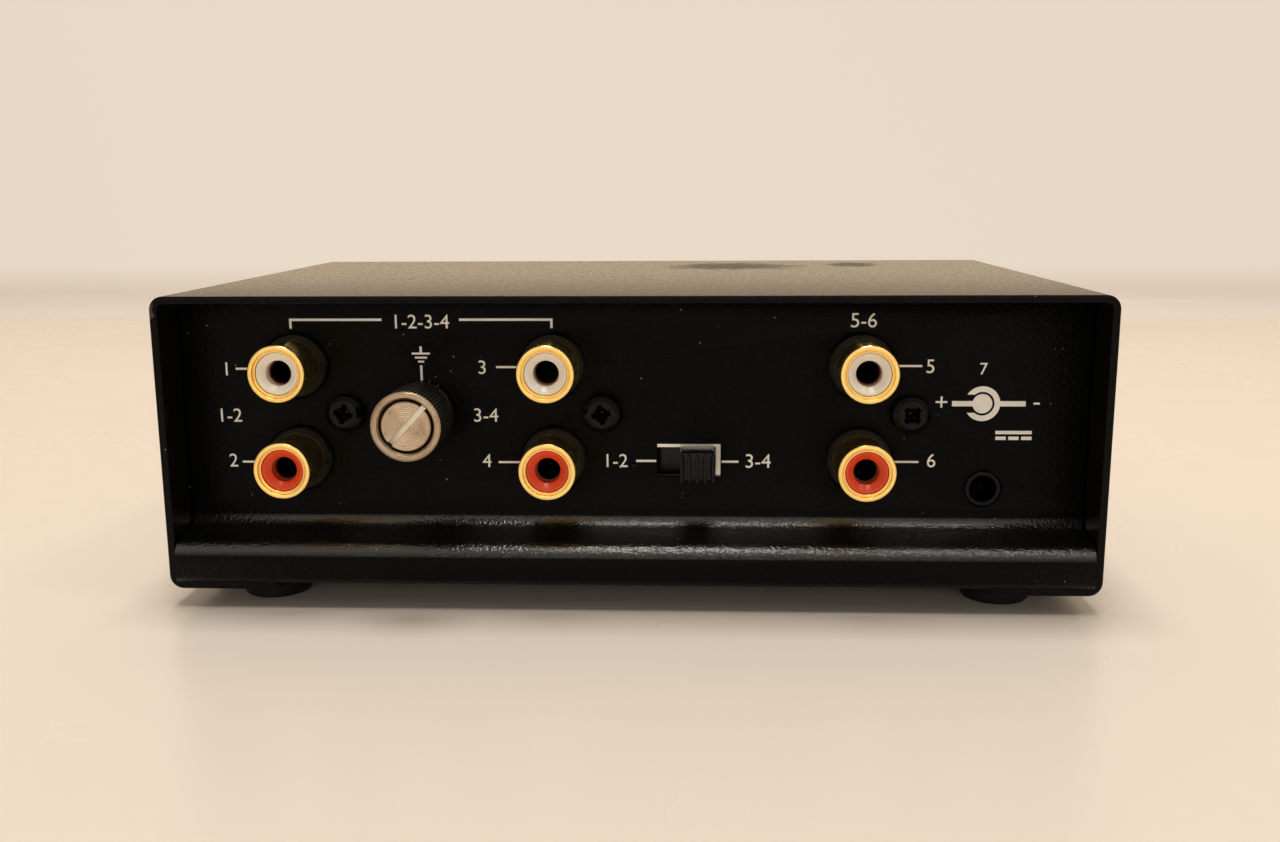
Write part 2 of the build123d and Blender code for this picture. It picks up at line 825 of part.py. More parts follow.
with BuildPart() as pin:
    pin_front = power_front + power_pin_set_back
    with BuildSketch(facing(power_body_back)):
        with Locations((power_x, power_z)):
            Circle(power_pin_radius)
    extrude(amount=power_body_back - pin_front)
    tip = pin.edges().filter_by(GeomType.CIRCLE).group_by(Axis.Y)[0]
    fillet(tip, power_pin_tip)
save("power_pin", pin.part)

contact_top = power_z + power_contact_over
with BuildPart() as power_contacts:
    tail_places.append((power_x, power_body_back + terminal_sheet / 2))
    with BuildSketch(facing(power_body_back + terminal_sheet)):
        with Locations((power_x, (contact_top + pin_end) / 2)):
            Rectangle(tail_width, contact_top - pin_end)
    extrude(amount=terminal_sheet)
    side_x = power_x - power_body_width / 2 - terminal_sheet / 2
    side_y = (panel_back + power_body_back) / 2
    tail_places.append((side_x, side_y))
    with BuildSketch(Plane.XY.offset(pin_end)):
        with Locations((side_x, side_y)):
            Rectangle(terminal_sheet, tail_width)
    extrude(amount=power_z - pin_end)
save("power_contacts", power_contacts.part)

# ---------------------------------------------------------------- ground terminal
ground_z = jack_middle
shoulder_front = panel_face - post_shoulder
washer_front = shoulder_front - washer_sheet
nut_back = washer_front - nut_seat_gap
nut_front = nut_back - nut_length
nut_travel = thread_pitch * nut_turns
head_front = nut_front + retainer_set_back
head_back = head_front + retainer_head_height
counterbore_floor = head_back + nut_travel + nut_stop_gap

with BuildPart() as post:
    plane, axis = along_y(ground_x, ground_z)
    with BuildSketch(plane):
        with BuildLine():
            Polyline(
                (retainer_shank_radius + thread_gap, head_back),
                (post_radius, head_back),
                (post_radius, shoulder_front),
                (post_shoulder_radius, shoulder_front),
                (post_shoulder_radius, panel_face),
                (post_shank_radius, panel_face),
                (post_shank_radius, panel_back + post_shank_length),
                (0, panel_back + post_shank_length),
                (0, head_back + retainer_shank_length + retainer_end_gap),
                (retainer_shank_radius + thread_gap, head_back + retainer_shank_length + retainer_end_gap),
                close=True,
            )
        make_face()
    revolve(axis=axis)
save("ground_post", post.part)

with BuildPart() as retainer:
    with BuildSketch(facing(head_back)):
        with Locations((ground_x, ground_z)):
            Circle(retainer_head_radius)
    extrude(amount=retainer_head_height)
    head_rim = retainer.edges().filter_by(GeomType.CIRCLE).group_by(Axis.Y)[0]
    chamfer(head_rim, retainer_edge)
    with BuildSketch(facing(head_back)):
        with Locations((ground_x, ground_z)):
            Circle(retainer_shank_radius)
    extrude(amount=-retainer_shank_length)
    with BuildSketch(facing(head_front)):
        with Locations((ground_x, ground_z)):
            Rectangle(2 * retainer_head_radius + 1, retainer_slot, rotation=retainer_slot_angle)
    extrude(amount=-retainer_slot_depth, mode=Mode.SUBTRACT)
save("ground_retainer", retainer.part)

with BuildPart() as clamp_washer:
    with BuildSketch(facing(shoulder_front)):
        with Locations((ground_x, ground_z)):
            Circle(washer_radius)
            Circle(post_radius + nut_fit, mode=Mode.SUBTRACT)
    extrude(amount=washer_sheet)
save("ground_washer", clamp_washer.part)

nut_root = nut_radius - nut_tooth_depth
nut_crest = nut_radius + cut_margin
with BuildPart() as thumb_nut:
    teeth = []
    for tooth in range(nut_teeth):
        for radius, shift in ((nut_root, 0), (nut_radius, nut_tooth_rise), (nut_radius, 1 - nut_tooth_rise)):
            angle = radians(360 / nut_teeth * (tooth + shift))
            teeth.append((ground_x + radius * cos(angle), ground_z + radius * sin(angle)))
    with BuildSketch(facing(nut_back)):
        with BuildLine():
            Polyline(*teeth, close=True)
        make_face()
        with Locations((ground_x, ground_z)):
            Circle(post_radius + nut_fit, mode=Mode.SUBTRACT)
    extrude(amount=nut_length)
    with BuildSketch(facing(nut_front)):
        with Locations((ground_x, ground_z)):
            Circle(nut_counterbore_radius)
    extrude(amount=-(counterbore_floor - nut_front), mode=Mode.SUBTRACT)
    plane, axis = along_y(ground_x, ground_z)
    with BuildSketch(plane):
        with BuildLine():
            Polyline(
                (nut_radius - nut_back_chamfer - cut_margin, nut_back + cut_margin),
                (nut_crest, nut_back + cut_margin),
                (nut_crest, nut_back - nut_back_chamfer - cut_margin),
                close=True,
            )
        make_face()
        with BuildLine():
            Polyline(
                (nut_root - cut_margin, nut_front - cut_margin),
                (nut_crest, nut_front - cut_margin),
                (nut_crest, nut_front + nut_tooth_depth + cut_margin),
                close=True,
            )
        make_face()
        with BuildLine():
            Polyline(
                (nut_counterbore_radius - cut_margin, nut_front - cut_margin),
                (nut_counterbore_radius + nut_mouth_chamfer + cut_margin, nut_front - cut_margin),
                (nut_counterbore_radius - cut_margin, nut_front + nut_mouth_chamfer + cut_margin),
                close=True,
            )
        make_face()
    revolve(axis=axis, mode=Mode.SUBTRACT)
save("ground_nut", thumb_nut.part)

star_back = panel_back + star_washer_sheet
tag_back = star_back + tag_sheet
with BuildPart() as star_washer:
    with BuildSketch(facing(star_back)):
        with Locations((ground_x, ground_z)):
            Circle(hex_nut_radius)
            Circle(post_shank_radius + screw_hole_gap, mode=Mode.SUBTRACT)
            with PolarLocations(hex_nut_radius, star_washer_teeth):
                Rectangle(2 * star_notch_depth, star_notch_width, mode=Mode.SUBTRACT)
    extrude(amount=star_washer_sheet)
save("ground_star_washer", star_washer.part)

tag_bend_z = board_top + tag_bend_height
tag_tail_y = tag_back + tag_reach
with BuildPart() as tag:
    tail_places.append((ground_x, tag_tail_y - tag_sheet / 2))
    with BuildSketch(facing(tag_back)):
        with Locations((ground_x, ground_z)):
            Circle(hex_nut_radius)
        with Locations((ground_x, (ground_z + tag_bend_z) / 2)):
            Rectangle(2 * tail_width, ground_z - tag_bend_z)
        with Locations((ground_x, ground_z)):
            Circle(post_shank_radius + screw_hole_gap, mode=Mode.SUBTRACT)
    extrude(amount=tag_sheet)
    with BuildSketch(Plane.XY.offset(tag_bend_z)):
        with Locations((ground_x, (tag_back - tag_sheet + tag_tail_y) / 2)):
            Rectangle(2 * tail_width, tag_tail_y - tag_back + tag_sheet)
    extrude(amount=tag_sheet)
    with BuildSketch(facing(tag_tail_y)):
        with Locations((ground_x, (tag_bend_z + tag_sheet + pin_end) / 2)):
            Rectangle(tail_width, tag_bend_z + tag_sheet - pin_end)
    extrude(amount=tag_sheet)
save("ground_tag", tag.part)

with BuildPart() as hex_nut:
    with BuildSketch(facing(tag_back)):
        with Locations((ground_x, ground_z)):
            RegularPolygon(hex_nut_radius, 6)
            Circle(post_shank_radius + thread_gap, mode=Mode.SUBTRACT)
    extrude(amount=-hex_nut_height)
save("ground_hex_nut", hex_nut.part)

# ---------------------------------------------------------------- light in the front panel
flange_y = front_back - light_flange
with BuildPart() as light:
    plane, axis = along_y(light_x, light_z)
    dome_y = front_face + light_proud
    with BuildSketch(plane):
        with BuildLine():
            Polyline(
                (0, dome_y),
                (0, flange_y),
                (light_flange_radius, flange_y),
                (light_flange_radius, front_back),
                (light_radius, front_back),
                (light_radius, dome_y - light_radius),
            )
            RadiusArc((light_radius, dome_y - light_radius), (0, dome_y), -light_radius)
        make_face()
    revolve(axis=axis)
save("power_light", light.part)

lead_y = flange_y - light_lead_reach
with BuildPart() as light_leads:
    with BuildSketch(facing(flange_y)):
        with Locations((light_x, light_z)), GridLocations(light_lead_pitch, 1, 2, 1):
            Rectangle(light_lead, light_lead)
    extrude(amount=light_lead_reach)
    with BuildSketch(Plane.XY.offset(board_top)):
        with Locations((light_x, lead_y)), GridLocations(light_lead_pitch, 1, 2, 1):
            Rectangle(light_lead, light_lead)
    extrude(amount=light_z + light_lead / 2 - board_top)
save("light_leads", light_leads.part)

# ---------------------------------------------------------------- circuit board
with BuildPart() as board:
    with BuildSketch(Plane.XY.offset(board_base)):
        with Locations((0, middle_y)):
            RectangleRounded(2 * board_half_width, 2 * board_half_depth, board_corner)
        with Locations(*board_hole_places):
            Circle(board_screw_radius + screw_hole_gap, mode=Mode.SUBTRACT)
        with Locations(*tail_places):
            Circle(tail_hole_radius, mode=Mode.SUBTRACT)
    extrude(amount=board_sheet)
save("circuit_board", board.part)

# ---------------------------------------------------------------- parts on the board
def spaced(first, pitch, count):
    return [first + pitch * step for step in range(count)]


def upright_cans(name, places, radius, height, crown):
    """Electrolytic capacitors: cans with an eased top edge."""
    with BuildPart() as cans:
        with BuildSketch(Plane.XY.offset(board_top)):
            with Locations(*places):
                Circle(radius)
        extrude(amount=height)
        chamfer(cans.edges().filter_by(GeomType.CIRCLE).group_by(Axis.Z)[-1], crown)
    save(name, cans.part)


supply_x = board_half_width - supply_from_side
supply_places = [(supply_x, y) for y in spaced(block_back + supply_first_row, supply_pitch, supply_count)]
upright_cans("supply_capacitors", supply_places, supply_radius, supply_height, supply_edge)
coupling_columns = spaced(coupling_first_x, coupling_pitch, coupling_count)
coupling_places = [(x, block_back + coupling_row) for x in coupling_columns]
upright_cans("coupling_capacitors", coupling_places, coupling_radius, coupling_height, coupling_edge)

film_columns = spaced(film_first_x, film_pitch, film_count)
film_rows = spaced(block_back + film_first_row, film_row_pitch, 2)
film_places = [(x, y) for x in film_columns for y in film_rows]
with BuildPart() as films:
    with BuildSketch(Plane.XY.offset(board_top)):
        with Locations(*film_places):
            Rectangle(film_length, film_width)
    extrude(amount=film_height)
    chamfer(films.edges().group_by(Axis.Z)[-1], film_edge)
save("film_capacitors", films.part)

disc_columns = spaced(disc_first_x, disc_pitch, disc_count)
disc_middle = board_top + disc_lift + disc_radius
with BuildPart() as discs:
    with BuildSketch(facing(block_back + disc_row + disc_sheet / 2)):
        with Locations(*[(x, disc_middle) for x in disc_columns]):
            Circle(disc_radius)
        with Locations(*[(x, (board_top + disc_middle) / 2) for x in disc_columns]):
            Rectangle(disc_radius, disc_middle - board_top)
    extrude(amount=disc_sheet)
save("ceramic_capacitors", discs.part)

chip_places = [(x, block_back + chip_row) for x in spaced(chip_first_x, chip_pitch, chip_count)]
chip_base = board_top + socket_height
with BuildPart() as sockets:
    with BuildSketch(Plane.XY.offset(board_top)):
        with Locations(*chip_places):
            Rectangle(chip_length + 2 * socket_end, chip_width + 2 * socket_side)
            Rectangle(chip_length - 2 * socket_bar, chip_width - 2 * socket_rail, mode=Mode.SUBTRACT)
    extrude(amount=socket_height)
save("op_amp_sockets", sockets.part)

with BuildPart() as chips:
    with BuildSketch(Plane.XY.offset(chip_base)):
        with Locations(*chip_places):
            Rectangle(chip_length, chip_width)
    extrude(amount=chip_height)
    chamfer(chips.edges().filter_by(Axis.X), chip_bevel)
    with BuildSketch(Plane.XY.offset(chip_base + chip_height)):
        with Locations(*[(x - chip_length / 2, y) for x, y in chip_places]):
            Circle(chip_notch_radius)
    extrude(amount=-chip_notch_depth, mode=Mode.SUBTRACT)
save("op_amps", chips.part)

transistor_columns = spaced(transistor_first_x, transistor_pitch, transistor_count)
transistor_places = [(x, block_back + transistor_row) for x in transistor_columns]
transistor_base = board_top + transistor_lift
with BuildPart() as transistors:
    with BuildSketch(Plane.XY.offset(transistor_base)):
        with Locations(*transistor_places):
            Circle(transistor_radius)
        with Locations(*[(x, y - transistor_radius) for x, y in transistor_places]):
            Rectangle(3 * transistor_radius, 2 * transistor_flat, mode=Mode.SUBTRACT)
    extrude(amount=transistor_height)
save("transistors", transistors.part)

with BuildPart() as transistor_leads:
    with BuildSketch(Plane.XY.offset(board_top)):
        with Locations(*transistor_places), GridLocations(transistor_lead_pitch, 1, 3, 1):
            Rectangle(transistor_lead, transistor_lead)
    extrude(amount=transistor_lift)
save("transistor_leads", transistor_leads.part)

resistor_columns = spaced(resistor_first_x, resistor_pitch, resistor_count)
resistor_y = block_back + resistor_row
resistor_places = [(x, resistor_y) for x in resistor_columns]
resistor_z = board_top + resistor_radius + wire_body_lift
diode_columns = spaced(board_half_width - diode_from_side, diode_pitch, diode_count)
diode_y = board_front - diode_from_front
diode_places = [(x, diode_y) for x in diode_columns]
diode_z = board_top + diode_radius + wire_body_lift


def wires(places, z, body_length):
    """Two wire leads for each body that lies along Y: out of its ends, then down to the board."""
    with BuildPart() as leads:
        for x, y in places:
            for end in sides:
                bend_y = y + end * wire_span / 2
                with BuildSketch(Plane.XY.offset(z - wire_radius)):
                    with Locations((x, (bend_y + y + end * body_length / 2) / 2)):
                        Rectangle(2 * wire_radius, (wire_span - body_length) / 2)
                    with Locations((x, bend_y)):
                        Rectangle(2 * wire_radius, 2 * wire_radius)
                extrude(amount=2 * wire_radius)
                with BuildSketch(Plane.XY.offset(board_top)):
                    with Locations((x, bend_y)):
                        Rectangle(2 * wire_radius, 2 * wire_radius)
                extrude(amount=z - board_top)
    return leads.part


with BuildPart() as resistors:
    with BuildSketch(facing(resistor_y + resistor_length / 2)):
        with Locations(*[(x, resistor_z) for x in resistor_columns]):
            Circle(resistor_radius)
    extrude(amount=resistor_length)
save("resistors", resistors.part)
save("resistor_leads", wires(resistor_places, resistor_z, resistor_length))

with BuildPart() as diodes:
    with BuildSketch(facing(diode_y + diode_length / 2)):
        with Locations(*[(x, diode_z) for x in diode_columns]):
            Circle(diode_radius)
    extrude(amount=diode_length)
    chamfer(diodes.edges().filter_by(GeomType.CIRCLE), diode_edge)
save("diodes", diodes.part)
save("diode_leads", wires(diode_places, diode_z, diode_length))

# the regulator stands against the web of its heat sink, an upright channel open to -Y
sink_x = board_half_width - sink_from_side
sink_y = board_front - sink_from_front
web_y = sink_y + sink_depth / 2 - sink_sheet
tab_y = web_y - regulator_tab
leg_y = tab_y - regulator_leg_set_in
regulator_base = board_top + regulator_lift
regulator_top = regulator_base + regulator_tab_height
regulator_hole_z = (regulator_base + regulator_body_height + regulator_top) / 2

with BuildPart() as heatsink:
    with BuildSketch(Plane.XY.offset(board_top)):
        with Locations((sink_x, sink_y)):
            Rectangle(sink_width, sink_depth)
        with Locations((sink_x, sink_y - sink_sheet)):
            Rectangle(sink_width - 2 * sink_sheet, sink_depth, mode=Mode.SUBTRACT)
    extrude(amount=sink_height)
    with BuildSketch(facing(web_y)):
        with Locations((sink_x, regulator_hole_z)):
            Circle(regulator_screw_radius + thread_gap)
    extrude(amount=-sink_sheet, mode=Mode.SUBTRACT)
save("regulator_heatsink", heatsink.part)

with BuildPart() as regulator:
    with BuildSketch(facing(web_y)):
        with Locations((sink_x, (regulator_base + regulator_top) / 2)):
            Rectangle(regulator_width, regulator_tab_height)
        with Locations((sink_x, regulator_hole_z)):
            Circle(regulator_screw_radius + regulator_hole_gap, mode=Mode.SUBTRACT)
    extrude(amount=regulator_tab)
    with BuildSketch(facing(tab_y)):
        with Locations((sink_x, regulator_base + regulator_body_height / 2)):
            Rectangle(regulator_width, regulator_body_height)
    extrude(amount=regulator_depth - regulator_tab)
    with BuildSketch(Plane.XY.offset(board_top)):
        with Locations((sink_x, leg_y)), GridLocations(regulator_leg_pitch, 1, 3, 1):
            Rectangle(regulator_leg_width, regulator_leg_sheet)
    extrude(amount=regulator_lift)
save("regulator", regulator.part)

with BuildPart() as regulator_screw:
    with BuildSketch(facing(web_y + sink_sheet + regulator_screw_end)):
        with Locations((sink_x, regulator_hole_z)):
            Circle(regulator_screw_radius)
    extrude(amount=regulator_tab + sink_sheet + regulator_screw_end)
    with BuildSketch(facing(tab_y)):
        with Locations((sink_x, regulator_hole_z)):
            Circle(regulator_screw_head_radius)
            Rectangle(2 * regulator_screw_radius, regulator_screw_slot, mode=Mode.SUBTRACT)
    extrude(amount=regulator_screw_head_height)
save("regulator_screw", regulator_screw.part)

with BuildPart() as choke:
    plane, axis = upright(board_half_width - choke_from_side, block_back + choke_row)
    with BuildSketch(plane):
        with BuildLine():
            Polyline(
                (0, board_top),
                (choke_radius, board_top),
                (choke_radius, board_top + choke_flange),
                (choke_waist_radius, board_top + choke_flange),
                (choke_waist_radius, board_top + choke_height - choke_flange),
                (choke_radius, board_top + choke_height - choke_flange),
                (choke_radius, board_top + choke_height),
                (0, board_top + choke_height),
                close=True,
            )
        make_face()
    revolve(axis=axis)
save("supply_choke", choke.part)
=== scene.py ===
"""The looks of the phono preamp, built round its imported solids.

+Z is up and the jack side faces -Y. The scene is in metres. Sizes and places of pieces are written in
millimetres, and MM turns them into metres.
"""

import json
import math

import bmesh
import bpy
from mathutils import Matrix, Vector

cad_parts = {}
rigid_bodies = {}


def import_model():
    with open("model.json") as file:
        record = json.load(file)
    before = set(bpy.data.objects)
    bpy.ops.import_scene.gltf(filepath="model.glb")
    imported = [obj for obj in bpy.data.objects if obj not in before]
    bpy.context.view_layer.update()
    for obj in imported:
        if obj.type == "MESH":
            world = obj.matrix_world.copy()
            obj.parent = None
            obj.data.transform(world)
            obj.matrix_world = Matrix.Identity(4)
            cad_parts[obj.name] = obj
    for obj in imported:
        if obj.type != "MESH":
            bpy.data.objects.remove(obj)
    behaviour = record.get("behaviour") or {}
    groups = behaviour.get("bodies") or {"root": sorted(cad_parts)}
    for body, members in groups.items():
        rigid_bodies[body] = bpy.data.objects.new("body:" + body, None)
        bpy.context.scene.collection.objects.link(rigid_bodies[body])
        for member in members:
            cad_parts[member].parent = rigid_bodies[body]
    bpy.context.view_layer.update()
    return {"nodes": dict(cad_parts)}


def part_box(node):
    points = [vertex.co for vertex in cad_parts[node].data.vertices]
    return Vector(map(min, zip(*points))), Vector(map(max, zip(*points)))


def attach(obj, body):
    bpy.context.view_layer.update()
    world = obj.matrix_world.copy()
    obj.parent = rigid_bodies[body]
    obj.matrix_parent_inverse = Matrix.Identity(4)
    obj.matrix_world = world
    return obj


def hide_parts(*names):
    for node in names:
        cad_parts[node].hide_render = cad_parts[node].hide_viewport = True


for leftover in list(bpy.data.objects):
    bpy.data.objects.remove(leftover)

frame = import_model()

MM = 0.001

# ------------------------------------------------------------------ camera, stage and lamps, in metres
CAMERA_PLACE = Vector((9.53, -210.86, 60.62)) * MM
# the camera's turns are in radians, its lens and sensor in millimetres
CAMERA_YAW = -0.04529
CAMERA_PITCH = 0.18735
CAMERA_ROLL = -0.005596
CAMERA_LENS = 34.44
SENSOR_WIDTH = 36.0

TABLE_HALF_WIDTH = 1.6
TABLE_NEAR = -1.8
WALL_FROM_MIDDLE = 0.395
WALL_HEIGHT = 1.5
COVE_RADIUS = 0.012
COVE_STEPS = 12
TABLE_CREAM = (0.79, 0.705, 0.62)
TABLE_WORN = (0.76, 0.675, 0.59)
WALL_CREAM = (0.83, 0.71, 0.585)
WALL_SHADE = (0.76, 0.64, 0.52)
# painted reflection: the colour that the wall shows only where a glossy surface sees it
WALL_PAINTED_REFLECTION = (0.84, 0.655, 0.445)
ROOM_WARM = (1.0, 0.90, 0.77)
ROOM_STRENGTH = 0.25
GLOSSY_SHARE = 0.5
LAMP_WARM = (1.0, 0.96, 0.90)
LIT_SPOT = (0.0, 0.0, 0.02)
# each lamp's name, its place, the point it faces, its two sides, and its power in watts
LAMPS = (("main_lamp", (0.0, -0.30, 1.12), (0.0, -0.30, 0.0), (0.36, 0.24), 2.9),
         ("right_lamp", (0.62, -0.28, 1.05), (0.62, -0.28, 0.0), (0.16, 0.16), 1.1),
         ("back_lamp", (-0.03, 0.11, 1.20), (-0.03, 0.11, 0.0), (0.4, 0.28), 7.5),
         ("front_lamp", (0.0, -1.40, 0.35), LIT_SPOT, (1.6, 0.5), 3.4))

# ------------------------------------------------------------------ the pieces: millimetres and radians
ARC_STEPS = 6
ROUND_SIDES = 96
SHEET_EDGE = 0.14
SHARP_ANGLE = math.radians(32)

SLEEVE_SHEET = 1.1
SLEEVE_BEND = 2.0
FLANGE_WIDTH = 17.2
FLANGE_CORNER = 2.2
TRAY_SHEET = 1.0
PANEL_RECESS = 7.0
TRAY_HEEL = 1.3
LIP_CROWN_HEIGHT = 5.8
LIP_CROWN = 3.0
LIP_HOLLOW_HEIGHT = 7.25
LIP_HOLLOW = 2.4

# places across the jack side, as x or as (x, z)
SCREW_COLUMNS = (-42.35, -4.15, 41.05)
SCREW_TURNS = (math.radians(12), math.radians(-10), math.radians(45))
POWER_PLACE = (51.95, 16.9)
SLOT_LOW = (4.0, 18.525)
SLOT_HIGH = (13.4, 23.475)

# radii of the holes through the panels
JACK_HOLE = 5.1
SCREW_HOLE = 1.6
POST_HOLE = 2.1
INLET_HOLE = 2.8
LIGHT_HOLE = 1.65

# jack shells and their insulators
SHELL_BORE = 3.08
SHELL_LEDGE = 3.26
SHELL_LEDGE_DEPTH = 0.34
SHELL_GROOVE = 3.42
SHELL_GROOVE_DEPTH = 0.5
SHELL_MOUTH = 3.46
SHELL_RADIUS = 4.1
SHELL_RIM_LENGTH = 8.3
SHELL_BARREL = 3.9
INSULATOR_RADIUS = 3.03
FUNNEL_MOUTH = 2.72
FUNNEL_DEPTH = 0.8
FUNNEL_THROAT = 1.84
CONTACT_SEAT_DEPTH = 2.2
CONTACT_SEAT = 2.0

# ground terminal
NUT_RADIUS = 5.0
NUT_CREST = 4.5
NUT_CUP = 3.85
NUT_CUP_DEPTH = 5.3
NUT_THREAD = 2.55
NUT_TEETH = 64
STEPS_PER_TOOTH = 6
KNURL_REACHES_TO = 4.96
# a groove's floor and its two sides: the step of the tooth, and the share of the radius that it keeps
KNURL_KEEPS = ((0, 0.94), (1, 0.965), (STEPS_PER_TOOTH - 1, 0.965))
RETAINER_HEAD = 3.6
RETAINER_SHANK = 1.4
RETAINER_HEAD_HEIGHT = 2.4
RETAINER_SLOT_HALF = 0.375
RETAINER_SLOT_DEPTH = 1.1
RETAINER_SLOT_TURN = -math.radians(47)

# panel screws
SCREW_HEAD = 2.85
SCREW_HEAD_HEIGHT = 1.9
SCREW_SHANK = 1.4
CROSS_REACH = 1.8
CROSS_HALF = 0.46
CROSS_DEPTH = 1.7
CROSS_HEART = 1.15

# feet
FOOT_RADIUS = 5.3
FOOT_TREAD = 4.9
FOOT_RECESS = 3.1
FOOT_HOLE = 1.6
FOOT_WEB = 0.9

# slide switch
CAN_TOP = 25.2
CAN_HEIGHT = 8.4
CAN_SHEET = 0.4
CAN_WINDOW_LOW = (3.9, 18.525)
CAN_WINDOW_HIGH = (12.65, 22.78)
CAN_TAB_FROM_MIDDLE = -30.3
CAN_TAB_HALF = 0.6
KNOB_WIDTH = 5.05
KNOB_HEIGHT = 4.2
KNOB_RIBS = 5
RIB_WIDTH = 0.44
RIB_LENGTH = 1.2
RIB_STANDS_OUT = 0.95

# power inlet and power light
INLET_BORE = 1.95
INLET_COLLAR = 2.65
INLET_COLLAR_LENGTH = 1.3
INLET_DEPTH = 9.5
PIN_RADIUS = 0.65
LIGHT_FLANGE = 1.9
LIGHT_FLANGE_HEIGHT = 1.0
LIGHT_RADIUS = 1.5
LIGHT_DOME_STEPS = 10

# printing on the jack panel
INK = 0.03
INK_BED = 0.01
LINE = 0.36
THIN_LINE = 0.3
CAPITAL_SHARE = 0.7
# text, the x and z of its middle, and its height
NUMBERS = (("1-2-3-4", -30.7, 41.55, 2.05), ("1-2", -60.03, 27.53, 2.05), ("3-4", -21.42, 27.64, 2.05),
           ("5-6", 33.9, 41.7, 2.1), ("1-2", -2.2, 20.81, 2.02), ("3-4", 18.9, 20.82, 2.1),
           ("7", 51.3, 34.67, 1.75))
JACK_NUMBER_HEIGHT = 2.02
JACK_NUMBERS = (("1", -60.05, 34.52), ("2", -59.9, 20.62), ("3", -21.75, 34.80), ("4", -21.4, 20.72),
                ("5", 43.7, 35.01), ("6", 44.3, 21.01))
# level lines as (first x, last x, z), upright ones as (x, lower z, upper z)
BRACKET_LINES = ((-50.2, -36.44, 41.95), (-24.95, -11.2, 41.95))
UPRIGHT_LINES = ((-50.02, 40.65, 41.77), (-11.38, 40.7, 41.77), (-30.8, 32.92, 35.2), (-30.8, 37.1, 38.0))
JACK_LINES = ((-58.67, -54.2, 34.67), (-58.56, -54.2, 20.52), (-19.68, -16.1, 34.95), (-19.69, -16.1, 20.62),
              (38.4, 42.49, 35.16), (38.4, 42.46, 20.91))
SWITCH_LINES = ((0.88, 3.85, 20.9), (13.55, 16.05, 20.83))
SWITCH_LINE = 0.33
GROUND_SIGN = (-30.8, 36.95)
GROUND_SIGN_HALVES = (1.35, 0.9, 0.45)
GROUND_SIGN_PITCH = 0.6
POLARITY_SIGN = (51.36, 29.63)
POLARITY_DOT = 1.43
# the ring's two radii, then how far left of its middle the gap runs from and to, and half its height
POLARITY_RING = (1.75, 2.57)
POLARITY_GAP = (4.0, 1.2, 1.35)
POLARITY_ARMS = ((46.99, 49.99), (53.9, 57.59))
POLARITY_ARM = 0.78
PLUS_SIGN = (45.46, 29.87)
PLUS_HALVES = (0.84, 0.82)
PLUS_LINE = 0.28
MINUS_SIGN = (58.7, 59.6, 29.66)
DIRECT_LOW = (53.43, 25.12)
DIRECT_HIGH = (58.69, 25.62)
DASH_LOW = (53.47, 24.26)
DASH_HIGH = (54.97, 24.77)
DASH_PITCH = 1.86
DASHES = 3

# ------------------------------------------------------------------ finishes: colours, grain and wear
NICKEL = (0.52, 0.41, 0.30)
NICKEL_TARNISH = (0.34, 0.24, 0.15)
# painted reflection: the knurled side's dark colour stands for the black panel that it mirrors
NUT_SIDE_PAINTED_DARK = (0.10, 0.085, 0.07)
# painted highlight: the slot floor's bright colour stands for the light that it catches
SLOT_PAINTED_HIGHLIGHT = (0.92, 0.84, 0.70)
DUST = (0.34, 0.31, 0.28)
CHIP_BARE = (0.075, 0.068, 0.06)
SMEAR_GREASE = (0.006, 0.0048, 0.0042)
SMEAR_DULLS = 0.24

# how fine the patterns are, in metres
FACE_PITCH = 0.0005
DUST_APART = 0.0022
DUST_PATCH = 0.011
MOULD_GRAIN = 0.0012

# where the wear is, in millimetres: heights on the lips, and places with their reach each way
BURNISH_RISE = (8.1, 8.9)
BURNISH_FALL = (11.9, 12.5)
CHIPPED_CORNER = (-68.0, -40.3, 44.2)
CHIP_REACH = (1.3, 1.0, 3.2)
SMEARS = (((17, 25, 46), (19, 16, 8)), ((40, 29, 46), (8, 10, 8)))


# ------------------------------------------------------------------ small tools for modelling
def begin():
    """Nothing stays selected, so that the next operators act only on what they add."""
    bpy.ops.object.select_all(action="DESELECT")


def named(name):
    """Names the piece that was just made and puts its place into its mesh."""
    piece = bpy.context.object
    piece.name = piece.data.name = name
    bpy.ops.object.transform_apply(location=True, rotation=True, scale=True)
    return piece


def editing(on):
    bpy.ops.object.mode_set(mode="EDIT" if on else "OBJECT")


def pick(piece, kind, wanted):
    """Selects the verts, edges or faces whose middle passes the test; the piece is in edit mode."""
    bpy.ops.mesh.select_mode(type={"verts": "VERT", "edges": "EDGE", "faces": "FACE"}[kind])
    bpy.ops.mesh.select_all(action="DESELECT")
    shape = bmesh.from_edit_mesh(piece.data)
    for item in getattr(shape, kind):
        corners = [item.co] if kind == "verts" else [v.co for v in item.verts]
        if wanted(sum(corners, Vector()) / len(corners)):
            item.select_set(True)
    bmesh.update_edit_mesh(piece.data)


def modify(piece, kind, **settings):
    """Adds a modifier with these settings and applies it."""
    bpy.context.view_layer.objects.active = piece
    modifier = piece.modifiers.new(kind.lower(), kind)
    for setting, value in settings.items():
        setattr(modifier, setting, value)
    bpy.ops.object.modifier_apply(modifier=modifier.name)


def soften(piece, width, segments=2, angle=SHARP_ANGLE):
    """Rounds the sharp edges a little, as paint, plating and tooling leave them."""
    modify(piece, "BEVEL", width=width * MM, segments=segments, limit_method="ANGLE", angle_limit=angle,
           use_clamp_overlap=True, harden_normals=False)


def cut(piece, cutters):
    for cutter in cutters:
        modify(piece, "BOOLEAN", operation="DIFFERENCE", object=cutter, solver="EXACT")
        bpy.data.objects.remove(cutter)


def joined(name, pieces):
    begin()
    for piece in pieces:
        piece.select_set(True)
    bpy.context.view_layer.objects.active = pieces[0]
    if len(pieces) > 1:
        bpy.ops.object.join()
    return named(name)


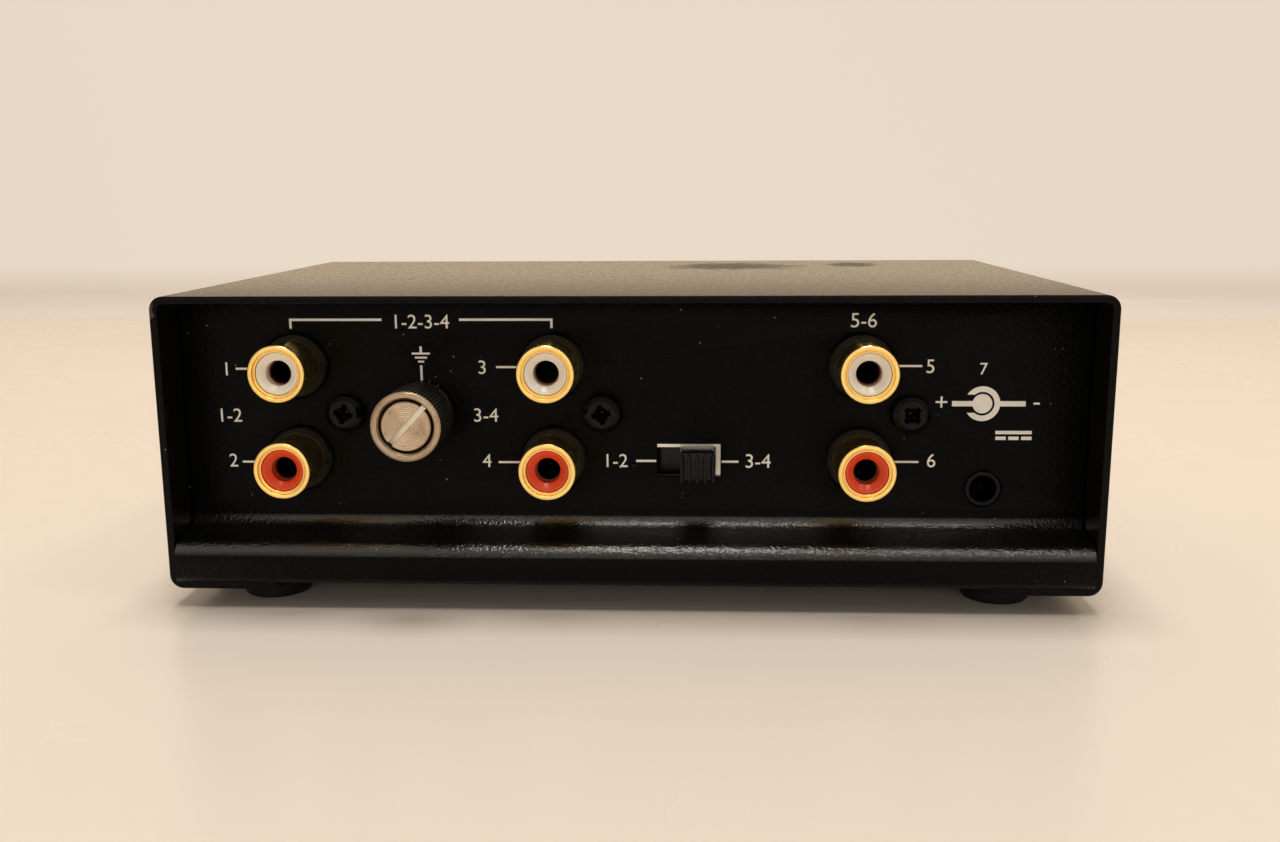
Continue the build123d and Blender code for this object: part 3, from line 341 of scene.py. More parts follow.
def fit(piece, finish, slot, body, *nodes):
    """Gives a piece its finish, its body and the solids that it stands for."""
    begin()
    piece.select_set(True)
    bpy.context.view_layer.objects.active = piece
    piece.data.materials.clear()
    piece.data.materials.append(finish)
    bpy.ops.object.shade_smooth_by_angle(angle=SHARP_ANGLE)
    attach(piece, body)
    if nodes:
        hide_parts(*nodes)
    return piece


def eased(corners, steps=ARC_STEPS):
    """The points of an outline of (a, b, radius) corners, each rounded by its radius."""
    points = []
    for number, (a, b, radius) in enumerate(corners):
        here = Vector((a, b))
        if radius == 0 or number in (0, len(corners) - 1):
            points.append(here)
            continue
        before = (Vector(corners[number - 1][:2]) - here).normalized()
        after = (Vector(corners[number + 1][:2]) - here).normalized()
        half = before.angle(after) / 2
        centre = here + (before + after).normalized() * (radius / math.sin(half))
        spoke = here + before * (radius / math.tan(half)) - centre
        end = here + after * (radius / math.tan(half)) - centre
        turn = math.copysign(math.pi - 2 * half, spoke.x * end.y - spoke.y * end.x)
        points += [centre + Matrix.Rotation(turn * step / steps, 2) @ spoke for step in range(steps + 1)]
    return points


def turned(name, middle, corners, upright=False, ring=False, sides=ROUND_SIDES):
    """A piece turned about a line along Y, or along Z if upright, through middle (x, y or z).

    The corners are (radius, place along the line, rounding) in millimetres. A ring joins its last
    point to its first; any other outline gets a flat face at each end.
    """
    points = eased(corners)
    if ring:
        points.append(points[0])
    along = Vector((0, 0, 1)) if upright else Vector((0, 1, 0))
    base = Vector((middle[0], middle[1], 0)) if upright else Vector((middle[0], 0, middle[1]))
    begin()
    bpy.ops.mesh.primitive_circle_add(
        vertices=sides, radius=points[0].x * MM, location=(base + along * points[0].y) * MM,
        rotation=(0, 0, 0) if upright else (math.pi / 2, 0, 0), fill_type="NOTHING" if ring else "NGON")
    piece = named(name)
    editing(True)
    bpy.ops.mesh.select_mode(type="EDGE")
    bpy.ops.mesh.select_all(action="SELECT")
    if not ring:
        bpy.ops.mesh.region_to_loop()
    for here, there in zip(points, points[1:]):
        bpy.ops.mesh.extrude_edges_move(TRANSFORM_OT_translate={"value": along * (there.y - here.y) * MM})
        grow = there.x / here.x
        bpy.ops.transform.resize(value=(grow, grow, 1) if upright else (grow, 1, grow),
                                 center_override=(base + along * there.y) * MM)
    if not ring:
        bpy.ops.mesh.edge_face_add()
    bpy.ops.mesh.select_all(action="SELECT")
    bpy.ops.mesh.remove_doubles(threshold=1e-6)
    bpy.ops.mesh.normals_make_consistent(inside=False)
    editing(False)
    return piece


def level_plane(name, middle, width, length):
    """A level rectangle, its middle and sides in metres."""
    begin()
    bpy.ops.mesh.primitive_plane_add(size=1, location=middle)
    bpy.ops.transform.resize(value=(width, length, 1), center_override=middle)
    return named(name)


def block(name, low, high, edge=0.0, turn=0.0):
    """A box from its lowest to its highest corner, in millimetres, turned about Y, with eased edges."""
    low, high = Vector(low), Vector(high)
    begin()
    bpy.ops.mesh.primitive_cube_add(size=1, location=(low + high) / 2 * MM, scale=(high - low) * MM,
                                    rotation=(0, turn, 0))
    piece = named(name)
    if edge:
        soften(piece, edge, 3)
    return piece


def bent_sheet(name, corners, across, low, high, sheet, shape=None):
    """A sheet bent along an outline and as wide as low to high across it; it starts out level."""
    def lay(a, b, c):
        return Vector((c, a, b) if across == "X" else (a, c, b)) * MM

    points = eased(corners, 10)
    start, bend = points[0], points[1]
    reach = lay(*bend, high) - lay(*start, low)
    piece = level_plane(name, (lay(*bend, high) + lay(*start, low)) / 2, abs(reach.x), abs(reach.y))
    editing(True)
    for last, point in zip(points[1:], points[2:]):
        edge = lay(*last, (low + high) / 2)
        pick(piece, "edges", lambda middle: (middle - edge).length < 1e-6)
        bpy.ops.mesh.extrude_edges_move(TRANSFORM_OT_translate={"value": lay(*point, 0) - lay(*last, 0)})
    bpy.ops.mesh.select_all(action="SELECT")
    bpy.ops.mesh.normals_make_consistent(inside=False)
    editing(False)
    if piece.data.polygons[0].normal.z > 0:
        editing(True)
        bpy.ops.mesh.select_all(action="SELECT")
        bpy.ops.mesh.flip_normals()
        editing(False)
    if shape:
        shape(piece)
    modify(piece, "SOLIDIFY", thickness=sheet * MM, offset=-1, use_even_offset=True)
    return piece


def drill(place, radius, start, end, sides=48):
    """A round cutter along Y through a place (x, z)."""
    return turned("drill", place, [(radius, start, 0), (radius, end, 0)], sides=sides)


def copied(piece, name, shift=(0, 0, 0), turn=0.0, about=(0, 0, 0)):
    """A copy with its own mesh, turned round a line along Y through about and moved by shift."""
    begin()
    double = piece.copy()
    double.data = piece.data.copy()
    bpy.context.scene.collection.objects.link(double)
    double.select_set(True)
    bpy.context.view_layer.objects.active = double
    pivot = Vector(about) * MM
    double.matrix_world = (Matrix.Translation(Vector(shift) * MM + pivot) @ Matrix.Rotation(turn, 4, "Y")
                           @ Matrix.Translation(-pivot))
    return named(name)


# ------------------------------------------------------------------ small tools for finishes
class Finish:
    """A material and the nodes that it is made of. Patterns lie on Object coordinates, in metres."""

    def __init__(self, name, colour, roughness, metallic=0.0, **sockets):
        self.material = bpy.data.materials.new(name)
        self.material.use_nodes = True
        self.tree = self.material.node_tree
        self.shader = self.tree.nodes["Principled BSDF"]
        self.shader.inputs["Base Color"].default_value = (*colour, 1)
        self.shader.inputs["Roughness"].default_value = roughness
        self.shader.inputs["Metallic"].default_value = metallic
        for socket, value in sockets.items():
            self.shader.inputs[socket.replace("_", " ")].default_value = value
        self.place = self.add("ShaderNodeTexCoord").outputs["Object"]
        self.normal = None

    def add(self, kind, inputs=None, **settings):
        node = self.tree.nodes.new(kind)
        for setting, value in settings.items():
            setattr(node, setting, value)
        for socket, value in (inputs or {}).items():
            if isinstance(value, bpy.types.NodeSocket):
                self.tree.links.new(value, node.inputs[socket])
            else:
                node.inputs[socket].default_value = value
        return node

    def at(self, centre=(0, 0, 0), stretch=(1, 1, 1)):
        """Object coordinates measured from a point, and stretched."""
        stretch = Vector(stretch)
        shift = [-c * s for c, s in zip(centre, stretch)]
        return self.add("ShaderNodeMapping", {"Vector": self.place, "Location": shift,
                                              "Scale": stretch}).outputs["Vector"]

    def noise(self, grain, detail=3.0, place=None):
        """Cloudy noise whose patches are about grain metres wide."""
        return self.add("ShaderNodeTexNoise", {"Vector": place or self.place, "Scale": 1 / grain,
                                               "Detail": detail}).outputs["Fac"]

    def cells(self, grain, place=None):
        """Distance to the nearest of points that are about grain metres apart."""
        return self.add("ShaderNodeTexVoronoi", {"Vector": place or self.place,
                                                 "Scale": 1 / grain}).outputs["Distance"]

    def near(self, centre, reach):
        """1 at a place, falling to 0 at its reach each way; both in millimetres."""
        centre, reach = Vector(centre) * MM, Vector(reach) * MM
        place = self.at(centre, (1 / reach.x, 1 / reach.y, 1 / reach.z))
        return self.add("ShaderNodeTexGradient", {"Vector": place}, gradient_type="SPHERICAL").outputs["Fac"]

    def part(self, axis):
        return self.add("ShaderNodeSeparateXYZ", {"Vector": self.place}).outputs[axis]

    def rings(self, centre, pitch, axis="Y"):
        """Turning marks: rings round a centre, pitch metres apart."""
        return self.add("ShaderNodeTexWave", {"Vector": self.at(centre), "Scale": 0.31 / pitch,
                                              "Distortion": 0.6, "Detail": 2.0, "Detail Scale": 1.5},
                        wave_type="RINGS", rings_direction=axis).outputs["Fac"]

    def spread(self, value, low, high, to_low=0.0, to_high=1.0):
        """Maps low..high of a value to to_low..to_high, and holds it there."""
        return self.add("ShaderNodeMapRange", {"Value": value, "From Min": low, "From Max": high,
                                               "To Min": to_low, "To Max": to_high}).outputs["Result"]

    def times(self, first, second, operation="MULTIPLY"):
        node = self.add("ShaderNodeMath", operation=operation)
        for socket, value in zip(node.inputs, (first, second)):
            if isinstance(value, bpy.types.NodeSocket):
                self.tree.links.new(value, socket)
            else:
                socket.default_value = value
        return node.outputs[0]

    def blend(self, factor, first, second):
        """A colour between two; each is a socket or three numbers."""
        node = self.add("ShaderNodeMix", data_type="RGBA")
        for socket, value in ((node.inputs[0], factor), (node.inputs[6], first), (node.inputs[7], second)):
            if isinstance(value, bpy.types.NodeSocket):
                self.tree.links.new(value, socket)
            else:
                socket.default_value = value if isinstance(value, float) else (*value, 1)
        return node.outputs[2]

    def colour(self, value):
        self.tree.links.new(value, self.shader.inputs["Base Color"])

    def roughness(self, value):
        self.tree.links.new(value, self.shader.inputs["Roughness"])

    def bump(self, height, strength, depth):
        """Adds relief; depth is in metres."""
        inputs = {"Height": height, "Strength": strength, "Distance": depth}
        if self.normal:
            inputs["Normal"] = self.normal
        self.normal = self.add("ShaderNodeBump", inputs).outputs["Normal"]
        self.tree.links.new(self.normal, self.shader.inputs["Normal"])


# ------------------------------------------------------------------ camera, stage and lamps
def add_camera():
    """In front of the jack side, a little to the right, looking slightly down."""
    forward = Vector((math.sin(CAMERA_YAW) * math.cos(CAMERA_PITCH),
                      math.cos(CAMERA_YAW) * math.cos(CAMERA_PITCH), -math.sin(CAMERA_PITCH)))
    level = Vector((math.cos(CAMERA_YAW), -math.sin(CAMERA_YAW), 0))
    steep = level.cross(forward)
    right = level * math.cos(CAMERA_ROLL) + steep * math.sin(CAMERA_ROLL)
    up = steep * math.cos(CAMERA_ROLL) - level * math.sin(CAMERA_ROLL)
    data = bpy.data.cameras.new("view_camera")
    data.lens = CAMERA_LENS
    data.sensor_width = SENSOR_WIDTH
    data.clip_start = 0.01
    camera = bpy.data.objects.new("view_camera", data)
    bpy.context.scene.collection.objects.link(camera)
    turn = Matrix((right, up, -forward)).transposed().to_4x4()
    camera.matrix_world = Matrix.Translation(CAMERA_PLACE) @ turn
    bpy.context.scene.camera = camera


def add_stage():
    """A pale glossy table that meets a pale wall in a small cove."""
    far = WALL_FROM_MIDDLE - COVE_RADIUS
    middle = Vector((0, (TABLE_NEAR + far) / 2, 0))
    table = level_plane("table", middle, 2 * TABLE_HALF_WIDTH, far - TABLE_NEAR)
    editing(True)
    pick(table, "edges", lambda place: place.y > far - COVE_RADIUS)
    bpy.ops.mesh.spin(steps=COVE_STEPS, angle=-math.pi / 2, center=(0, far, COVE_RADIUS), axis=(1, 0, 0))
    bpy.ops.mesh.extrude_edges_move(TRANSFORM_OT_translate={"value": (0, 0, WALL_HEIGHT)})
    editing(False)
    finish = Finish("pale_table", TABLE_CREAM, 0.25, Specular_IOR_Level=0.3)
    rise = finish.spread(finish.part("Z"), 0.0, 2 * COVE_RADIUS)
    worn = finish.spread(finish.noise(0.3, 2.0), 0.4, 0.7)
    finish.colour(finish.blend(worn, TABLE_CREAM, TABLE_WORN))
    finish.roughness(finish.spread(finish.noise(0.05, 3.0), 0.3, 0.7, 0.2, 0.3))
    # the wall keeps its plain colour where the camera sees it; where a glossy surface sees it, it shows a
    # warmer, darker painted reflection colour
    shade = finish.spread(finish.noise(1.1, 1.0), 0.35, 0.65)
    path = finish.add("ShaderNodeLightPath").outputs
    wall = finish.blend(path["Is Glossy Ray"], finish.blend(shade, WALL_CREAM, WALL_SHADE), WALL_PAINTED_REFLECTION)
    glow = finish.add("ShaderNodeEmission", {"Color": wall})
    seen = finish.times(path["Is Camera Ray"], path["Is Glossy Ray"], "MAXIMUM")
    mix = finish.add("ShaderNodeMixShader", {0: finish.times(rise, seen), 1: finish.shader.outputs[0],
                                             2: glow.outputs[0]})
    finish.tree.links.new(mix.outputs[0], finish.tree.nodes["Material Output"].inputs["Surface"])
    table.data.materials.append(finish.material)
    bpy.ops.object.shade_smooth_by_angle(angle=SHARP_ANGLE)


def add_lamp(name, place, aim, size, power):
    data = bpy.data.lights.new(name, "AREA")
    data.shape = "RECTANGLE"
    data.size, data.size_y = size
    data.energy = power
    data.color = LAMP_WARM
    lamp = bpy.data.objects.new(name, data)
    bpy.context.scene.collection.objects.link(lamp)
    lamp.location = place
    lamp.rotation_euler = (Vector(aim) - Vector(place)).to_track_quat("-Z", "Y").to_euler()


def add_light():
    """Soft room light, with broad lamps overhead and a low one before the jack side."""
    world = bpy.data.worlds.new("room")
    bpy.context.scene.world = world
    world.use_nodes = True
    nodes, links = world.node_tree.nodes, world.node_tree.links
    shade = nodes["Background"]
    shade.inputs["Color"].default_value = (*ROOM_WARM, 1)
    shade.inputs["Strength"].default_value = ROOM_STRENGTH
    seen = nodes.new("ShaderNodeBackground")
    seen.inputs["Color"].default_value = (*WALL_CREAM, 1)
    path, both, mix = (nodes.new(kind) for kind in ("ShaderNodeLightPath", "ShaderNodeMath",
                                                     "ShaderNodeMixShader"))
    both.operation = "MULTIPLY_ADD"
    links.new(path.outputs["Is Glossy Ray"], both.inputs[0])
    both.inputs[1].default_value = GLOSSY_SHARE
    links.new(path.outputs["Is Camera Ray"], both.inputs[2])
    links.new(both.outputs[0], mix.inputs[0])
    links.new(shade.outputs[0], mix.inputs[1])
    links.new(seen.outputs[0], mix.inputs[2])
    links.new(mix.outputs[0], nodes["World Output"].inputs["Surface"])
    for lamp in LAMPS:
        add_lamp(*lamp)


# ------------------------------------------------------------------ finishes
def middle_of(node):
    low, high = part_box(node)
    return (low + high) / 2


def powder_coat(name, colour, roughness, grain, depth, level, fleck):
    """Satin powder coat: a fine pebbled skin that sparkles where it catches the light, and a little dust."""
    finish = Finish(name, colour, roughness, Specular_Tint=(level, level, level, 1))
    pebbles = finish.noise(grain, 2.0)
    finish.bump(pebbles, 1.0, depth)
    specks = finish.spread(finish.cells(DUST_APART), 0.03, 0.065, 1.0, 0.0)
    dusty = finish.spread(finish.noise(DUST_PATCH, 2.0), 0.5, 0.58)
    paint = finish.blend(finish.spread(pebbles, 0.42, 0.62), colour, tuple(c * fleck for c in colour))
    finish.paint = finish.blend(finish.times(specks, dusty), paint, DUST)
    finish.colour(finish.paint)
    finish.gloss = finish.spread(pebbles, 0.35, 0.65, roughness + 0.08, roughness - 0.06)
    finish.roughness(finish.gloss)
    return finish


def tray_coat():
    """The tray's coat, burnished by fingers on the slope and the upper bends of its lips."""
    finish = powder_coat("tray_powder_coat", (0.0020, 0.0018, 0.0016), 0.33, 0.00042, 0.00012, 0.1, 1.2)
    height = finish.part("Z")
    rise = finish.spread(height, *(level * MM for level in BURNISH_RISE))
    fall = finish.spread(height, *(level * MM for level in BURNISH_FALL), 1.0, 0.0)
    finish.tree.links.new(finish.times(finish.times(rise, fall), 0.9), finish.shader.inputs["Coat Weight"])
    finish.shader.inputs["Coat Roughness"].default_value = 0.2
    finish.shader.inputs["Coat IOR"].default_value = 1.9
    finish.tree.links.new(finish.normal, finish.shader.inputs["Coat Normal"])
    return finish


def sleeve_coat():
    """The sleeve's coat, worn through at one top corner and smudged twice on top by a finger."""
    finish = powder_coat("sleeve_powder_coat", (0.0032, 0.0029, 0.0027), 0.18, 0.0006, 0.00008, 0.12, 1.6)
    chips = finish.times(finish.near(CHIPPED_CORNER, CHIP_REACH), finish.noise(0.0007, 4.0), "ADD")
    worn = finish.spread(chips, 0.95, 1.1)
    smear = finish.times(*(finish.near(place, reach) for place, reach in SMEARS), "MAXIMUM")
    smear = finish.spread(finish.times(smear, finish.noise(0.0035, 5.0), "ADD"), 0.75, 1.15)
    greasy = finish.blend(smear, finish.paint, SMEAR_GREASE)
    finish.colour(finish.blend(worn, greasy, CHIP_BARE))
    finish.roughness(finish.times(finish.gloss, finish.times(smear, SMEAR_DULLS), "ADD"))
    return finish


def plated(name, colour, roughness, centre=None, pitch=0.00022, tarnish=None):
    """Plated metal with fine turning marks and a slight tarnish."""
    finish = Finish(name, colour, roughness, 1.0)
    stain = finish.spread(finish.noise(0.004, 2.0), 0.35, 0.75)
    finish.colour(finish.blend(finish.times(stain, 0.5), colour, tarnish or tuple(c * 0.72 for c in colour)))
    finish.roughness(finish.spread(finish.noise(0.003, 2.0), 0.3, 0.7, roughness - 0.03, roughness + 0.05))
    if centre is not None:
        finish.bump(finish.rings(centre, pitch), 0.8, 0.00003)
    return finish


def moulded(name, colour, roughness, **sockets):
    """Moulded plastic: a faint flow pattern in its colour and gloss."""
    finish = Finish(name, colour, roughness, **sockets)
    flow = finish.noise(MOULD_GRAIN * 3, 3.0)
    finish.colour(finish.blend(finish.spread(flow, 0.3, 0.7), tuple(c * 0.88 for c in colour), colour))
    gloss = finish.noise(MOULD_GRAIN, 3.0)
    finish.roughness(finish.spread(gloss, 0.3, 0.7, roughness - 0.05, roughness + 0.07))
    finish.bump(finish.noise(MOULD_GRAIN / 3, 2.0), 0.12, 0.00003)
    return finish


def thumb_nut_nickel():
    """Nickel with turning marks on the face; the knurled side is rougher, dull with handling, and painted
    dark as a painted reflection of the black panel.
    """
    finish = plated("thumb_nut_nickel", NICKEL, 0.27, middle_of("ground_nut"), tarnish=NICKEL_TARNISH)
    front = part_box("ground_nut")[0].y
    depth = finish.spread(finish.part("Y"), front + 0.15 * MM, front + 0.6 * MM)
    stain = finish.spread(finish.noise(0.0022, 4.0), 0.35, 0.75)
    rings = finish.spread(finish.rings(middle_of("ground_nut"), FACE_PITCH), 0.2, 0.8, 0.0, 0.6)
    face = finish.blend(finish.times(stain, rings, "MAXIMUM"), NICKEL, NICKEL_TARNISH)
    # painted reflection: behind the face, the knurled side is painted dark
    finish.colour(finish.blend(depth, face, NUT_SIDE_PAINTED_DARK))
    finish.roughness(finish.spread(depth, 0, 1, 0.26, 0.5))
    return finish


def contact_metal():
    """The centre contacts: plated at the mouth, and painted darker deeper into the hole as painted shade."""
    finish = plated("centre_contact", (0.16, 0.06, 0.03), 0.5)
    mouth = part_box("centre_contacts")[0].y
    depth = finish.spread(finish.part("Y"), mouth, mouth + 1.6 * MM)
    # painted shade: the contact's colour falls to near black with depth into the hole
    finish.colour(finish.blend(depth, (0.16, 0.055, 0.03), (0.012, 0.004, 0.003)))
    return finish


def retainer_nickel():
    """The slotted screw: turned on its face, plain and rougher in its slot, whose floor is painted bright as
    a painted highlight.
    """
    finish = plated("retainer_nickel", NICKEL, 0.27, middle_of("ground_nut"), 0.00026)
    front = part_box("ground_retainer")[0].y
    slot = finish.spread(finish.part("Y"), front + 0.8 * MM, front + 1.0 * MM)
    rings = finish.spread(finish.rings(middle_of("ground_nut"), FACE_PITCH), 0.2, 0.8, 0.0, 0.4)
    patina = finish.spread(finish.noise(0.0014, 4.0), 0.45, 0.65, 0.0, 0.8)
    face = finish.blend(finish.times(rings, patina, "MAXIMUM"), NICKEL, NICKEL_TARNISH)
    # painted highlight: the slot's floor is painted bright
    finish.colour(finish.blend(slot, face, SLOT_PAINTED_HIGHLIGHT))
    finish.roughness(finish.spread(slot, 0, 1, 0.26, 0.45))
    return finish


def make_finishes():
    """One finish for each material slot of the record, and a few for single pieces."""
    return {
        "black_powder_coat": sleeve_coat(),
        "panel_paint": tray_coat(),
        "foot_rubber": moulded("foot_rubber", (0.006, 0.006, 0.006), 0.62, Specular_IOR_Level=0.3),
        "zinc_steel": plated("zinc_plate", (0.62, 0.61, 0.58), 0.34),
        "black_steel": moulded("black_oxide", (0.002, 0.002, 0.002), 0.17, Specular_IOR_Level=0.14),
        "brass_plain": plated("turned_brass", (0.72, 0.52, 0.24), 0.34),
        "gold_plate": plated("gold_plate", (1.0, 0.73, 0.26), 0.24, tarnish=(0.92, 0.56, 0.15)),
        "nickel_plate": plated("nickel_plate", NICKEL, 0.27, middle_of("ground_nut"), tarnish=NICKEL_TARNISH),
        "thumb_nut": thumb_nut_nickel(),
        "retainer": retainer_nickel(),
        "bright_tin": plated("bright_tin", (0.88, 0.82, 0.75), 0.4, tarnish=(0.8, 0.72, 0.62)),
        # painted shade: the pin deep in the inlet is coloured near black, as it lies in shade
        "pin_painted_shade": plated("pin_painted_shade", (0.006, 0.005, 0.005), 0.7),
        "centre_contact": contact_metal(),
        "block_plastic": moulded("block_plastic", (0.003, 0.003, 0.003), 0.3, Specular_IOR_Level=0.12),
        "white_insulator": moulded("white_insulator", (1.0, 0.91, 0.77), 0.22, Subsurface_Weight=0.15,
                                   Subsurface_Scale=0.001),
        "red_insulator": moulded("red_insulator", (0.84, 0.075, 0.02), 0.2, Specular_IOR_Level=0.3),
        "switch_plastic": moulded("switch_plastic", (0.004, 0.004, 0.0042), 0.28, Specular_IOR_Level=0.2),
        "laminate_tan": moulded("laminate_tan", (0.42, 0.26, 0.12), 0.55),
        "tinned_copper": plated("tinned_copper", (0.70, 0.70, 0.70), 0.36),
        "socket_plastic": moulded("socket_plastic", (0.003, 0.003, 0.0032), 0.26, Specular_IOR_Level=0.12),
        "green_laminate": moulded("green_laminate", (0.05, 0.22, 0.10), 0.35),
        "can_sleeve": moulded("can_sleeve", (0.05, 0.05, 0.09), 0.28),
        "film_box": moulded("film_box", (0.55, 0.09, 0.07), 0.4),
        "ceramic_dip": moulded("ceramic_dip", (0.75, 0.50, 0.16), 0.45),
        "chip_epoxy": moulded("chip_epoxy", (0.03, 0.03, 0.032), 0.5),
        "resistor_body": moulded("resistor_body", (0.25, 0.45, 0.62), 0.35),
        "heatsink_aluminium": plated("heatsink_aluminium", (0.08, 0.08, 0.085), 0.42),
        "ferrite": moulded("ferrite", (0.16, 0.15, 0.15), 0.6),
        "light_lens": moulded("light_lens", (0.10, 0.42, 0.14), 0.15, Transmission_Weight=0.4),
        "ink": moulded("pale_ink", (1.0, 0.96, 0.88), 0.55),
    }


# ------------------------------------------------------------------ pieces
def millimetres(node):
    low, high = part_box(node)
    return low / MM, high / MM


def add_sleeve(finishes):
    """The sleeve: one sheet bent round the tray, its flanges under it."""
    low, high = millimetres("sleeve_cover")
    flange = high.x - FLANGE_WIDTH

    def ease_flanges(piece):
        editing(True)
        pick(piece, "verts", lambda place: abs(abs(place.x) - flange * MM) < 1e-6)
        bpy.ops.mesh.bevel(affect="VERTICES", offset=FLANGE_CORNER * MM, offset_type="WIDTH", segments=1)
        editing(False)

    corners = [(-flange, low.z, 0), (low.x, low.z, SLEEVE_BEND), (low.x, high.z, SLEEVE_BEND),
               (high.x, high.z, SLEEVE_BEND), (high.x, low.z, SLEEVE_BEND), (flange, low.z, 0)]
    piece = bent_sheet("sleeve_shell", corners, "Y", low.y, high.y, SLEEVE_SHEET, ease_flanges)
    soften(piece, SHEET_EDGE, 3, math.radians(50))
    fit(piece, finishes["black_powder_coat"].material, "black_powder_coat", "case", "sleeve_cover")


def add_tray(finishes):
    """The tray: floor, S-shaped lips and both recessed panels, from one sheet, with its cut-outs."""
    low, high = millimetres("chassis_tray")
    sleeve_low, sleeve_high = millimetres("sleeve_cover")
    panel = sleeve_low.y + PANEL_RECESS
    far_panel = sleeve_high.y - PANEL_RECESS
    near = [(low.y, low.z, TRAY_HEEL), (low.y, low.z + LIP_CROWN_HEIGHT, LIP_CROWN),
            (panel, low.z + LIP_HOLLOW_HEIGHT, LIP_HOLLOW), (panel, high.z, 0)]
    middle = (low.y + high.y) / 2
    half = [(middle, low.z, 0), *near]
    piece = bent_sheet("tray_sheet", half, "X", low.x, high.x, TRAY_SHEET)
    begin()
    piece.select_set(True)
    bpy.context.view_layer.objects.active = piece
    bpy.context.scene.cursor.location = (0, middle * MM, 0)
    bpy.ops.object.origin_set(type="ORIGIN_CURSOR")
    modify(piece, "MIRROR", use_axis=(False, True, False), merge_threshold=1e-6)
    bpy.ops.object.transform_apply(location=True, rotation=True, scale=True)
    before, behind = panel - 2, panel + 3
    cutters = [drill((place.x, place.z), JACK_HOLE, before, behind, 72) for _, place in jack_places()]
    screws = middle_of("jack_screws") / MM
    cutters += [drill((x, screws.z), SCREW_HOLE, before, behind) for x in SCREW_COLUMNS]
    post = middle_of("ground_post") / MM
    cutters.append(drill((post.x, post.z), POST_HOLE, before, behind))
    cutters.append(drill(POWER_PLACE, INLET_HOLE, before, behind, 64))
    cutters.append(block("slot", (SLOT_LOW[0], before, SLOT_LOW[1]), (SLOT_HIGH[0], behind, SLOT_HIGH[1])))
    light = middle_of("power_light") / MM
    cutters.append(drill((light.x, light.z), LIGHT_HOLE, far_panel - 3, far_panel + 2))
    cut(piece, cutters)
    soften(piece, 0.1, 2, math.radians(50))
    fit(piece, finishes["panel_paint"].material, "panel_paint", "case", "chassis_tray")


def jack_places():
    """The name and the middle (x, z) of each of the six jacks."""
    for column in ("left", "middle", "right"):
        for row in ("upper", "lower"):
            low, high = millimetres(f"jack_shell_{column}_{row}")
            yield f"{column}_{row}", Vector(((low.x + high.x) / 2, 0, (low.z + high.z) / 2))


def add_shells(finishes):
    """The six turned shells: a rounded rim, a small ledge inside it, and a plain barrel."""
    low, high = millimetres("jack_shell_left_upper")
    front = low.y
    ledge, groove, step = front + SHELL_LEDGE_DEPTH, front + SHELL_GROOVE_DEPTH, front + SHELL_RIM_LENGTH
    corners = [(SHELL_BORE, high.y, 0), (SHELL_BORE, ledge, 0.07), (SHELL_LEDGE, ledge, 0.07),
               (SHELL_LEDGE + 0.07, groove, 0), (SHELL_GROOVE, groove, 0), (SHELL_MOUTH, front, 0.16),
               (SHELL_RADIUS, front, 0.24), (SHELL_RADIUS, step, 0.05), (SHELL_BARREL, step, 0),
               (SHELL_BARREL, high.y, 0)]
    shell = turned("shell", (0, 0), corners, ring=True, sides=128)
    for name, place in jack_places():
        piece = copied(shell, f"shell_{name}", place)
        fit(piece, finishes["gold_plate"].material, "gold_plate", "case", f"jack_shell_{name}")
    bpy.data.objects.remove(shell)


def add_insulators(finishes):
    """The white and red insulators: an eased rim, then a funnel down to the hole."""
    low, high = millimetres("white_insulators")
    front = low.y
    seat = front + CONTACT_SEAT_DEPTH
    corners = [(INSULATOR_RADIUS, high.y, 0), (INSULATOR_RADIUS, front, 0.12), (FUNNEL_MOUTH, front, 0.4),
               (FUNNEL_THROAT, front + FUNNEL_DEPTH, 0.12), (FUNNEL_THROAT, seat, 0), (CONTACT_SEAT, seat, 0),
               (CONTACT_SEAT, high.y, 0)]
    insulator = turned("insulator", (0, 0), corners, ring=True)
    for name, place in jack_places():
        node, slot = (("white_insulators", "white_insulator") if "upper" in name
                      else ("red_insulators", "red_insulator"))
        piece = copied(insulator, f"insulator_{name}", place)
        fit(piece, finishes[slot].material, slot, "case", node)
    bpy.data.objects.remove(insulator)


